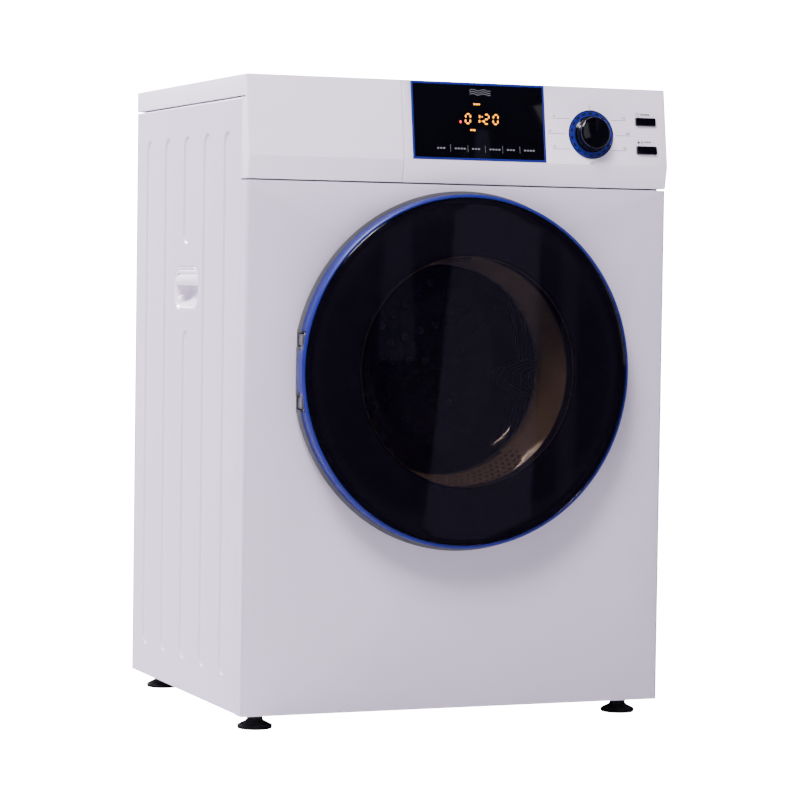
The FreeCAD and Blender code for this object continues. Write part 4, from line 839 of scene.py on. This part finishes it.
def programme_marks():
    bm = bmesh.new()
    for side_sign, reach in ((-1, 0.026), (1, 0.022)):
        for y, start in ((0.0205, 0.0285), (0, 0.0350), (-0.0205, 0.0285)):
            add_bar(bm, (side_sign * (start + reach / 2 + 0.002), y), reach, 0.0005, SIGN_THICK)
    place_on_face("leader_lines", bm, KNOB_ACROSS, KNOB_DOWN, 0, GREY_PRINT)
    words = [
        ("12", -0.0560, 0.0222), ("20", -0.0620, 0.0017), ("30", -0.0560, -0.0188),
        ("40", 0.0475, 0.0222), ("60", 0.0530, 0.0017), ("90", 0.0475, -0.0188),
        ("0", -0.0010, 0.0358), ("120", -0.0040, -0.0400),
    ]
    printed_digits("programme_numbers", words, KNOB_ACROSS, KNOB_DOWN, 0.0030)


knob()
dial()
programme_marks()

# ---------------- push buttons
# Two black gloss caps with rounded corners stand in close-fitting holes. The
# mark over the upper one is a power sign, over the lower one start and pause.

BUTTONS = (("power_button", "power_key", 0.0445), ("start_button", "start_key", 0.083))
BUTTON_WIDE = 0.0295
BUTTON_ACROSS = 0.2515 + BUTTON_WIDE / 2


def button_cap(node, body, down):
    bm = bmesh.new()
    add_bar(bm, (0, 0), BUTTON_WIDE, 0.0108, 0.0075)
    upright = [edge for edge in bm.edges if abs(edge.verts[0].co.z - edge.verts[1].co.z) > 0.005]
    round_edges(bm, upright, 0.0018, 5)
    top = [edge for edge in bm.edges if min(vert.co.z for vert in edge.verts) > 0.007]
    round_edges(bm, top, 0.0008, 3)
    piece = place_on_face(node + "_cap", bm, BUTTON_ACROSS, down, -0.0045, BLACK_GLOSS, body)
    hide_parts(node)


def button_signs():
    """A broken ring with a stroke, and a wedge with two strokes, each with short print beside it."""
    bm = bmesh.new()
    turned_bars(bm, 15, 40, 20, (0, 0.0021), 0.0009, 0.0006, SIGN_THICK)
    add_bar(bm, (0, 0.0019), 0.0006, 0.0024, SIGN_THICK)
    for step in range(4):
        add_bar(bm, (0.0062 + step * 0.0034, 0), 0.0026, 0.0022, SIGN_THICK, 0.0004)
    place_on_face("power_sign", bm, BUTTON_ACROSS - 0.0115, 0.0345, 0, GREY_PRINT)
    bm = bmesh.new()
    for row in range(-4, 5):
        share = 1 - abs(row) / 5
        add_bar(bm, (0.0021 * share, row * 0.0005), 0.0042 * share, 0.0005, SIGN_THICK)
    for x in (0.0056, 0.0072):
        add_bar(bm, (x, 0), 0.0007, 0.0044, SIGN_THICK)
    for step in range(3):
        add_bar(bm, (0.0112 + step * 0.0034, 0.0008), 0.0026, 0.0020, SIGN_THICK, 0.0004)
    place_on_face("start_sign", bm, BUTTON_ACROSS - 0.0125, 0.0725, 0, GREY_PRINT)


for button_node, button_body, button_down in BUTTONS:
    button_cap(button_node, button_body, button_down)
button_signs()

# ---------------- door
# A domed pane of tinted glass is bonded to a black moulded frame with a round
# window. A blue satin ring trims its edge, and a grey back cover shows as a rim.

TAUPE_PLASTIC = coated("taupe_plastic", (0.23, 0.19, 0.165), (0.27, 0.225, 0.195),
                       0.28, 0.40, 260, 0.04, coat=0.3)
GREY_PLASTIC = coated("grey_plastic", (0.085, 0.085, 0.10), (0.105, 0.105, 0.12), 0.35, 0.5, 320, 0.06)
HINGE_METAL = gloss("hinge_metal", (0.25, 0.25, 0.27), 0.34, coat=0.0, metallic=0.85, grain=600, bump=0.06)
SEAL_RUBBER = coated("seal_rubber", (0.035, 0.035, 0.038), (0.045, 0.045, 0.05), 0.6, 0.75, 420, 0.12)
FRAME_BLACK = gloss("door_mask", (0.0018, 0.0014, 0.019), 0.6, coat=0.0, bump=0.005)
BLACK_PLASTIC = coated("black_plastic", (0.010, 0.010, 0.012), (0.016, 0.016, 0.018), 0.4, 0.55, 380, 0.08)
BRIGHT_STEEL = gloss("bright_steel", (0.55, 0.54, 0.53), 0.3, coat=0.0, metallic=1.0, grain=400, bump=0.05)


def tinted(name, face_colour, light_through, cover, roughness):
    """Clear glass: a tinted share of the light goes straight through, and its face mirrors the room."""
    material, tree, body = new_material(
        name, {"Base Color": (*face_colour, 1), "Specular IOR Level": 0})
    add_spread(tree, noise(tree, 6, 2), body.inputs["Roughness"], 0.5, 0.7)
    clear = add_node(tree, "BsdfTransparent", {"Color": (*light_through, 1)})
    mirror = add_node(tree, "BsdfGlossy", {"Roughness": roughness})
    facing = add_node(tree, "LayerWeight", {"Blend": 0.5})
    steep = add_node(tree, "Math", {1: 5})
    steep.operation = "POWER"
    share = add_node(tree, "Math", {1: 0.92, 2: 0.045})
    share.operation = "MULTIPLY_ADD"
    tree.links.new(facing.outputs["Facing"], steep.inputs[0])
    tree.links.new(steep.outputs["Value"], share.inputs[0])
    depth = mixed(tree, cover, clear.outputs["BSDF"], body.outputs["BSDF"])
    surface = mixed(tree, share.outputs["Value"], depth, mirror.outputs["BSDF"])
    tree.links.new(surface, tree.nodes["Material Output"].inputs["Surface"])
    return material


PANE_GLASS = tinted("door_glass", (0.003, 0.0025, 0.010), (0.84, 0.79, 0.75), 0.20, 0.012)
BOWL_GLASS = tinted("bowl_glass", (0.10, 0.09, 0.08), (0.97, 0.955, 0.94), 0.03, 0.012)

DOOR_AXIS = Matrix.Translation((0, FRONT, DOOR_MIDDLE)) @ Matrix((
    Vector((1, 0, 0)), Vector((0, 0, 1)), Vector((0, -1, 0)))).transposed().to_4x4()


def on_door_axis(name, bm):
    """Piece of a bmesh drawn about Z, turned to face forwards at the door's middle."""
    bmesh.ops.transform(bm, matrix=DOOR_AXIS, verts=bm.verts)
    piece = add_mesh(name, bm)
    shade(piece, 32)
    return piece


def turned_on_door(name, points):
    """Ring or dish turned about the door axis from (radius, ahead of the panel) points."""
    bm = bmesh.new()
    spin_profile(bm, points, 192)
    return on_door_axis(name, bm)


GLASS_RADIUS = (GLASS_HIGH.x - GLASS_LOW.x) / 2
GLASS_TIP = FRONT - GLASS_LOW.y
DOME = 0.003
GLASS_THICK = 0.0038
WINDOW = 0.150
RING_BACK = 0.008
RING_RADIUS = (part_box("door_ring")[1].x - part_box("door_ring")[0].x) / 2
SEAL_INNER, SEAL_OUTER = 0.166, 0.178
BRONZE_LINE = gloss("bronze_line", (0.20, 0.155, 0.12), 0.3, coat=0.0, metallic=0.8)


def dome_points(tip, count, reverse=False):
    """(radius, ahead) points along a dome, from the axis to near the rim."""
    reach = GLASS_RADIUS - 0.0016
    spots = []
    for step in range(count + 1):
        radius = reach * step / count
        spots.append((radius, tip - DOME * (radius / GLASS_RADIUS) ** 2))
    return spots[::-1] if reverse else spots


def door_pane():
    edge = GLASS_TIP - DOME
    profile = dome_points(GLASS_TIP, 16)
    profile += [(GLASS_RADIUS - 0.0007, edge - 0.0004), (GLASS_RADIUS, edge - 0.0014),
                (GLASS_RADIUS, edge - 0.0028), (GLASS_RADIUS - 0.0007, edge - GLASS_THICK + 0.0004)]
    profile += dome_points(GLASS_TIP - GLASS_THICK, 8, reverse=True)
    dressed(turned_on_door("door_pane", profile), "door_outer_glass", PANE_GLASS, "door")


def door_mask():
    """Moulded frame: black front face with a shallow groove round the window and one near the rim."""
    window = WINDOW
    front, back = 0.0302, RING_BACK
    outer = RING_RADIUS - 0.0053
    profile = [
        (window, back + 0.003), (window, front - 0.0006), (window + 0.0006, front), (window + 0.0012, front),
        (window + 0.0016, front - 0.0009), (window + 0.0042, front - 0.0009), (window + 0.0046, front),
        (outer - 0.0080, front), (outer - 0.0076, front - 0.0008), (outer - 0.0068, front - 0.0008),
        (outer - 0.0064, front), (outer - 0.0008, front), (outer, front - 0.0008),
        (outer, back), (outer - 0.003, back), (outer - 0.003, 0.0277), (window + 0.003, 0.0277),
        (window + 0.003, back + 0.003), (window, back + 0.003),
    ]
    dressed(turned_on_door("door_mask", profile), "door_frame", FRAME_BLACK, "door")


def window_line():
    """Thin bronze line that edges the window."""
    inner, outer = WINDOW - 0.0002, WINDOW + 0.0009
    profile = [(inner, 0.0292), (inner, 0.0306), (outer, 0.0306), (outer, 0.0292), (inner, 0.0292)]
    line = turned_on_door("window_line", profile)
    paint(line, BRONZE_LINE)
    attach(line, "door")


def door_bowl():
    """Pressed glass bowl: rolled flange, sloping wall, rounded corner and a domed end."""
    lip, wall, end = 0.011, 0.1478, 0.118
    outside = [(0.1618, lip - 0.0005), (0.1618, lip - 0.0024), (0.1608, RING_BACK + 0.0002),
               (wall + 0.004, RING_BACK + 0.0002), (wall, RING_BACK - 0.003)]
    outside += [(end + 0.0045, -0.0300), (end + 0.0020, -0.0345), (end - 0.003, -0.0375),
                (end - 0.020, -0.0392), (end - 0.060, -0.0410), (0, -0.0418)]
    inside = [(0, -0.0382), (end - 0.060, -0.0374), (end - 0.020, -0.0356), (end - 0.007, -0.0340),
              (end - 0.0015, -0.0315), (end + 0.0005, -0.0285), (wall - 0.0040, RING_BACK - 0.002),
              (wall - 0.0032, lip - 0.0012), (wall - 0.0020, lip), (0.1610, lip), (0.1618, lip - 0.0005)]
    bowl = turned_on_door("door_bowl", outside + inside)
    dressed(bowl, "door_inner_bowl", BOWL_GLASS, "door")


def door_gasket():
    """Moulded rubber seal with a soft lip that meets the port."""
    inner, outer = SEAL_INNER, SEAL_OUTER
    profile = [(inner, 0.0055), (outer, 0.0055), (outer, 0.0036), (outer - 0.0022, 0.0024),
               (outer - 0.0034, -0.0001), (outer - 0.0052, -0.0006), (outer - 0.0076, -0.0006),
               (inner + 0.0020, 0.0018), (inner, 0.0034), (inner, 0.0055)]
    dressed(turned_on_door("door_gasket", profile), "door_seal", SEAL_RUBBER, "door")


door_pane()
soften("door_ring", BLUE_TRIM, [(anywhere, 0.0007, 3)], angle=20)
door_mask()
window_line()
door_bowl()
door_gasket()
soften("door_rear_cover", GREY_PLASTIC, [(anywhere, 0.0005, 2)], angle=20)

# ---------------- hinge and lock
# A grey cast base with two arms carries a steel pin. The leaf turns between the
# arms. A steel strike on the door meets a sprung catch in its case.

METALWORK = (
    ("hinge_base", HINGE_METAL, "hinge_metal", 0.0009, 3),
    ("door_hinge_leaf", HINGE_METAL, "hinge_metal", 0.0007, 3),
    ("hinge_pin", BRIGHT_STEEL, "bright_steel", 0.0006, 3),
    ("door_strike", BRIGHT_STEEL, "bright_steel", 0.0005, 3),
    ("door_lock", BLACK_PLASTIC, "black_plastic", 0.0008, 3),
    ("lock_catch", BRIGHT_STEEL, "bright_steel", 0.0004, 2),
)
for metal_node, finish_material, finish_slot, edge_width, edge_steps in METALWORK:
    soften(metal_node, finish_material, [(anywhere, edge_width, edge_steps)], angle=50)

# ---------------- port and lint grille
# A taupe plastic ring funnels from the front panel to the drum. Its lower part
# is a grille with rows of small holes, and the lint filter drops in behind it.

PORT_FRONT, PORT_BACK = 0.158, 0.140
CONE_DEPTH = 0.050
CONE_WALL = 0.003
FLANGE = 0.204
GRILLE_FRONT, GRILLE_REAR = 0.0072, 0.0438
GRILLE_HALF = 45.0
SLOT_FRONT = 0.0525
SLOT_HALF = 38.5


def cone_radius(depth):
    share = (depth - 0.001) / (CONE_DEPTH - 0.001)
    return PORT_FRONT + (PORT_BACK - PORT_FRONT) * share


def swept(bm, points, start, sweep, steps):
    """Closed outline of (radius, depth) points swept part of the way round the door axis, in degrees."""
    verts = [bm.verts.new((radius, 0, -depth)) for radius, depth in points]
    face = bm.faces.new(verts)
    bmesh.ops.rotate(bm, verts=verts, matrix=Matrix.Rotation(math.radians(start), 3, "Z"))
    bmesh.ops.spin(bm, geom=[face] + list(face.edges) + verts, cent=(0, 0, 0), axis=(0, 0, 1),
                   angle=math.radians(sweep), steps=steps)


def funnel():
    """Port ring: a flange and a neck all the way round, and the cone above the grille.

    Behind the neck a collar leaves room below for the lint filter to slide."""
    bm = bmesh.new()
    front_depth, rear_depth = 0.0070, 0.0440
    lip = cone_radius(0.0069)
    throat = cone_radius(0.0441)
    outside = PORT_BACK + CONE_WALL
    flange = [(FLANGE, 0.0012), (PORT_FRONT + 0.006, 0.0010), (PORT_FRONT + 0.002, 0.0018),
              (PORT_FRONT, 0.0042), (lip, 0.0069), (lip + CONE_WALL, 0.0069),
              (PORT_FRONT + 0.0032, 0.004), (FLANGE, 0.004)]
    neck = [(throat, 0.0441), (PORT_BACK + 0.0008, 0.0480), (PORT_BACK, 0.0520), (PORT_BACK, SLOT_FRONT),
            (outside, SLOT_FRONT), (outside, CONE_DEPTH), (throat + CONE_WALL, 0.0441)]
    for outline in (flange, neck):
        spin_outline(bm, [(radius, -depth) for radius, depth in outline + outline[:1]], 192)
    cone = [(cone_radius(front_depth), front_depth), (cone_radius(rear_depth), rear_depth),
            (cone_radius(rear_depth) + CONE_WALL, rear_depth),
            (cone_radius(front_depth) + CONE_WALL, front_depth)]
    swept(bm, cone, -90 + GRILLE_HALF, 360 - 2 * GRILLE_HALF, 144)
    start = SLOT_FRONT + 0.00005
    collar = [(PORT_BACK, start), (PORT_BACK, 0.0640), (PORT_BACK + 0.0008, 0.0648),
              (outside, 0.0648), (outside, start)]
    swept(bm, collar, -90 + SLOT_HALF, 360 - 2 * SLOT_HALF, 150)
    bmesh.ops.remove_doubles(bm, verts=bm.verts, dist=1e-6)
    bmesh.ops.recalc_face_normals(bm, faces=bm.faces)
    dressed(on_door_axis("port_ring", bm), "port_funnel", TAUPE_PLASTIC, "cabinet")


def takes_hole(column, row, columns):
    """Every other cell of every other row, staggered, but none at the plate's ends."""
    return row % 2 and (column + row // 2) % 2 == 0 and 0 < column < columns - 1


def near_middle(face, columns, rows):
    """True for a face whose middle is at the middle of a grid cell that takes a hole."""
    spot = face.calc_center_median()
    across, along = spot.x + columns / 2, spot.y + rows / 2
    column, row = int(across), int(along)
    centred = abs(across - column - 0.5) < 0.02 and abs(along - row - 0.5) < 0.02
    return centred and takes_hole(column, row, columns)


def grille():
    """Curved plate between the cone's ends, with four staggered rows of round holes."""
    columns, rows = 52, 8
    bm = bmesh.new()
    bmesh.ops.create_grid(bm, x_segments=columns, y_segments=rows, size=0.5)
    bmesh.ops.scale(bm, vec=(columns, rows, 1), verts=bm.verts)
    cells = []
    for face in bm.faces:
        spot = face.calc_center_median()
        column, row = int(spot.x + columns / 2), int(spot.y + rows / 2)
        if takes_hole(column, row, columns):
            cells.append(face)
    bmesh.ops.inset_individual(bm, faces=cells, thickness=0.06)
    corners = [vert for face in cells for vert in face.verts]
    bmesh.ops.bevel(bm, geom=corners, offset=0.25, segments=1, profile=0.5, affect="VERTICES",
                    material=-1)
    holes = [face for face in bm.faces if len(face.verts) == 8 and face.calc_area() < 0.85
             and all(vert.link_faces for vert in face.verts) and near_middle(face, columns, rows)]
    bmesh.ops.delete(bm, geom=holes, context="FACES_ONLY")
    span = 2 * (GRILLE_HALF - 0.15) / columns
    for vert in bm.verts:
        angle = math.radians(-90 + vert.co.x * span)
        depth = GRILLE_FRONT + (vert.co.y / rows + 0.5) * (GRILLE_REAR - GRILLE_FRONT)
        radius = cone_radius(depth)
        vert.co = Vector((radius * math.cos(angle), radius * math.sin(angle), -depth))
    bmesh.ops.delete(bm, geom=[vert for vert in bm.verts if not vert.link_faces], context="VERTS")
    bmesh.ops.triangulate(bm, faces=[face for face in bm.faces if len(face.verts) > 4])
    for face in bm.faces:
        spot = face.calc_center_median()
        if face.normal.dot(Vector((spot.x, spot.y, 0))) > 0:
            face.normal_flip()
    bmesh.ops.solidify(bm, geom=bm.faces[:], thickness=0.0028)
    dressed(on_door_axis("grille_plate", bm), "lint_grille", TAUPE_PLASTIC, "cabinet")


def port_lamp():
    """Small lens with three ribs at the top of the port, over the drum lamp."""
    bm = bmesh.new()
    outline = [(0.1515, 0.016), (0.1475, 0.018), (0.1440, 0.028), (0.1475, 0.030), (0.1515, 0.030)]
    swept(bm, outline, 90 - 8, 16, 12)
    for index in range(3):
        depth = 0.0205 + index * 0.0030
        rib = [(0.1478, depth), (0.1462, depth), (0.1456, depth + 0.0015), (0.1478, depth + 0.0015)]
        swept(bm, rib, 90 - 6, 12, 10)
    bmesh.ops.recalc_face_normals(bm, faces=bm.faces)
    piece = on_door_axis("port_lamp_lens", bm)
    paint(piece, GREY_PLASTIC)
    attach(piece, "cabinet")


funnel()
grille()
port_lamp()

# ---------------- lint filter and duct
# The filter is a grey plastic frame with a thin plate; it lifts out of the port.
# A black plastic duct behind the front panel leads from it to the blower.

soften("lint_filter", GREY_PLASTIC, [(anywhere, 0.0006, 2)], angle=40)
soften("lint_duct", BLACK_PLASTIC, [(anywhere, 0.0015, 3)], angle=50)

# ---------------- drum and its front support
# The drum is rolled steel with a perforated back wall and three lifters. A
# galvanised plate with a felt band holds its mouth. The motor, blower, ducts,
# heater and board round it are finished here too.


def rolled_steel(name, first, second, rough_low, rough_high, metallic=1.0, stretch=(1, 60, 1)):
    """Bright sheet with fine lines that run round the drum."""
    material, tree, shader = new_material(name, {"Metallic": metallic})
    lines = noise(tree, 5, 5, stretch)
    add_tint(tree, shader, lines, first, second)
    add_spread(tree, lines, shader.inputs["Roughness"], rough_low, rough_high)
    add_bump(tree, shader, noise(tree, 9, 4, stretch), 0.05, 0.0003)
    return material


def spangled(name):
    """Galvanised sheet: soft patches of crystals under a dull sheen."""
    material, tree, shader = new_material(name, {"Metallic": 0.9})
    add_tint(tree, shader, noise(tree, 70, 1), (0.40, 0.41, 0.42), (0.56, 0.57, 0.58))
    add_spread(tree, noise(tree, 40, 4), shader.inputs["Roughness"], 0.38, 0.55)
    add_bump(tree, shader, noise(tree, 200, 2), 0.04, 0.0003)
    return material


# The drum steel's two colours are much darker than bare steel: they are painted shade for the dark inside of
# the drum.
DRUM_STEEL_SHADE_DARKENED = rolled_steel("drum_steel", (0.20, 0.19, 0.175), (0.34, 0.325, 0.305), 0.20, 0.34)
GALVANISED = spangled("galvanised")
FELT = coated("felt", (0.16, 0.155, 0.15), (0.24, 0.235, 0.225), 0.9, 1.0, 900, 0.5)
ROLLER_NYLON = coated("roller_nylon", (0.62, 0.60, 0.54), (0.68, 0.66, 0.60), 0.42, 0.55, 300, 0.05)
BELT_RUBBER = coated("belt_rubber", (0.018, 0.018, 0.019), (0.028, 0.028, 0.03), 0.65, 0.8, 600, 0.2)
MOTOR_METAL = rolled_steel("motor_metal", (0.30, 0.31, 0.32), (0.42, 0.43, 0.44), 0.38, 0.5, 0.85, (1, 1, 1))
CIRCUIT_GREEN = coated("circuit_green", (0.010, 0.085, 0.035), (0.016, 0.12, 0.05), 0.3, 0.45, 700, 0.1)
HEATER_CERAMIC = coated("heater_ceramic", (0.45, 0.42, 0.38), (0.56, 0.53, 0.48), 0.5, 0.7, 500, 0.1)

INSIDE = (
    ("drum_shell", DRUM_STEEL_SHADE_DARKENED, "drum_steel", 0.0008, 40),
    ("drum_lifters", DRUM_STEEL_SHADE_DARKENED, "drum_steel", 0.0045, 40),
    ("drum_shaft", BRIGHT_STEEL, "bright_steel", 0.0008, 50),
    ("front_bulkhead", GALVANISED, "galvanised", 0.0, 50),
    ("drum_front_felt", FELT, "felt", 0.0008, 50),
    ("bearing_bracket", GALVANISED, "galvanised", 0.0008, 50),
    ("roller_axles", BRIGHT_STEEL, "bright_steel", 0.0005, 50),
    ("roller_left", ROLLER_NYLON, "roller_nylon", 0.0012, 50),
    ("roller_right", ROLLER_NYLON, "roller_nylon", 0.0012, 50),
    ("motor_housing", MOTOR_METAL, "motor_metal", 0.0020, 50),
    ("motor_shaft", BRIGHT_STEEL, "bright_steel", 0.0005, 50),
    ("motor_bracket", GALVANISED, "galvanised", 0.0006, 50),
    ("idler_arm", GALVANISED, "galvanised", 0.0006, 50),
    ("idler_pulley", ROLLER_NYLON, "roller_nylon", 0.0006, 50),
    ("drive_belt", BELT_RUBBER, "black_plastic", 0.0004, 60),
    ("blower_wheel", BLACK_PLASTIC, "black_plastic", 0.0003, 60),
    ("blower_housing", BLACK_PLASTIC, "black_plastic", 0.0010, 60),
    ("heater_coils", HEATER_CERAMIC, "ceramic_heater", 0.0003, 60),
    ("exhaust_duct", BLACK_PLASTIC, "black_plastic", 0.0010, 60),
    ("control_board", CIRCUIT_GREEN, "circuit_green", 0.0004, 60),
    ("rotary_encoder", MOTOR_METAL, "bright_steel", 0.0004, 60),
    ("base_pan", GALVANISED, "galvanised", 0.0005, 60),
)
for inner_node, finish_material, finish_slot, edge_width, edge_angle in INSIDE:
    rounding = [(anywhere, edge_width, 2)] if edge_width else []
    soften(inner_node, finish_material, rounding, angle=edge_angle)

# ---------------- back of the cabinet
# A galvanised sheet closes the back. A pressed cover with louvres shuts in the
# heater, and a round plastic collar takes the exhaust hose.

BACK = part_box("rear_duct_cover")[0].y

soften("rear_panel", GALVANISED, [], angle=60)
soften("rear_duct_cover", GALVANISED, [(anywhere, 0.0012, 3)], angle=60)
soften("cord_inlet", BLACK_PLASTIC, [(anywhere, 0.0010, 3)], angle=50)
soften("exhaust_collar", GREY_PLASTIC, [(anywhere, 0.0008, 3)], angle=50)


def onto_back(bm, before, across, back, tall):
    """Moves the newest points from flat on Z to the back of the cabinet."""
    fresh = [vert for vert in bm.verts if vert not in before]
    place = Matrix.Translation((across, back, tall)) @ Matrix.Rotation(math.radians(-90), 4, "X")
    bmesh.ops.transform(bm, matrix=place, verts=fresh)


def back_piece(name, bm, material):
    piece = add_mesh(name, bm)
    paint(piece, material)
    shade(piece, 40)
    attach(piece, "cabinet")


def back_screws():
    """Pan-head screws with a round recess, which hold the sheet and the cover."""
    places = []
    for across in (-0.28, -0.14, 0.0, 0.14, 0.28):
        places += [(across, 0.040, BACK), (across, 0.800, BACK)]
    for tall in (0.20, 0.36, 0.52, 0.68):
        places += [(-0.286, tall, BACK), (0.286, tall, BACK)]
    for across in (-0.206, 0.206):
        for tall in (0.27, 0.40, 0.54, 0.665):
            places.append((across, tall, BACK + 0.0010))
    profile = [(0, 0.0009), (0.0006, 0.0009), (0.0009, 0.0021), (0.0018, 0.0022), (0.0029, 0.0016),
               (0.0036, 0.0006), (0.0037, 0)]
    bm = bmesh.new()
    for across, tall, back in places:
        before = set(bm.verts)
        spin_outline(bm, profile, 16)
        onto_back(bm, before, across, back, tall)
    bmesh.ops.remove_doubles(bm, verts=bm.verts, dist=1e-6)
    bmesh.ops.holes_fill(bm, edges=[edge for edge in bm.edges if len(edge.link_faces) == 1], sides=0)
    bmesh.ops.recalc_face_normals(bm, faces=bm.faces)
    back_piece("back_screws", bm, BRIGHT_STEEL)


def back_embosses():
    """Pressed ribs that stiffen the back sheet below the cover and at its sides."""
    bm = bmesh.new()
    ribs = [(across, 0.06, 0.20) for across in (-0.05, 0.05, 0.15, 0.245)]
    ribs += [(across, 0.24, 0.68) for across in (-0.245, 0.245)]
    for across, low, high in ribs:
        before = set(bm.verts)
        made = bmesh.ops.create_cube(bm, size=1)["verts"]
        bmesh.ops.scale(bm, vec=(0.020, high - low, 0.0024), verts=made)
        upright = [edge for edge in bm.edges if edge.verts[0] not in before
                   and abs(edge.verts[0].co.z - edge.verts[1].co.z) > 0.001]
        round_edges(bm, upright, 0.0098, 6)
        top = [edge for edge in bm.edges if edge.verts[0] not in before
               and min(vert.co.z for vert in edge.verts) > 0.001]
        round_edges(bm, top, 0.0022, 3)
        onto_back(bm, before, across, BACK, (low + high) / 2)
    bmesh.ops.recalc_face_normals(bm, faces=bm.faces)
    back_piece("back_ribs", bm, GALVANISED)


back_screws()
back_embosses()

# ---------------- feet
# Four levelling feet: a black pad that tapers up to a hexagon, on a threaded
# stem that screws into the base.

FOOT_BLACK = coated("foot_black", (0.012, 0.012, 0.013), (0.020, 0.020, 0.022), 0.45, 0.6, 500, 0.15)
THREAD_PITCH = 0.0015


def foot(place):
    low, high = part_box("foot_" + place)
    middle = ((low.x + high.x) / 2, (low.y + high.y) / 2, low.z)
    radius = (high.x - low.x) / 2
    bm = bmesh.new()
    profile = [(0, 0.0008), (radius - 0.004, 0.0008), (radius - 0.0035, 0), (radius - 0.0012, 0),
               (radius - 0.0002, 0.0012), (radius, 0.0030), (radius - 0.0004, 0.0048),
               (radius - 0.0022, 0.0058), (0.0125, 0.0100), (0.0115, 0.0112), (0, 0.0112)]
    spin_profile(bm, profile, 64)
    before = set(bm.verts)
    bmesh.ops.create_cone(bm, cap_ends=True, segments=6, radius1=0.0108, radius2=0.0108, depth=0.0060)
    nut = [vert for vert in bm.verts if vert not in before]
    bmesh.ops.translate(bm, vec=(0, 0, 0.0140), verts=nut)
    nut_edges = [edge for edge in bm.edges if edge.verts[0] not in before and edge.verts[1] not in before]
    round_edges(bm, nut_edges, 0.0006, 2)
    thread = [(0, 0.0168)]
    turns = int((high.z - 0.019) / THREAD_PITCH)
    for turn in range(turns):
        height = 0.0170 + turn * THREAD_PITCH
        thread += [(0.0036, height), (0.0040, height + 0.0007)]
    thread.append((0, 0.0170 + turns * THREAD_PITCH))
    spin_profile(bm, thread, 24)
    bmesh.ops.translate(bm, vec=middle, verts=bm.verts)
    piece = add_mesh("levelling_foot_" + place, bm)
    shade(piece)
    dressed(piece, "foot_" + place, FOOT_BLACK, nodes["foot_" + place]["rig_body"])


for foot_place in ("front_left", "front_right", "rear_left", "rear_right"):
    foot(foot_place)
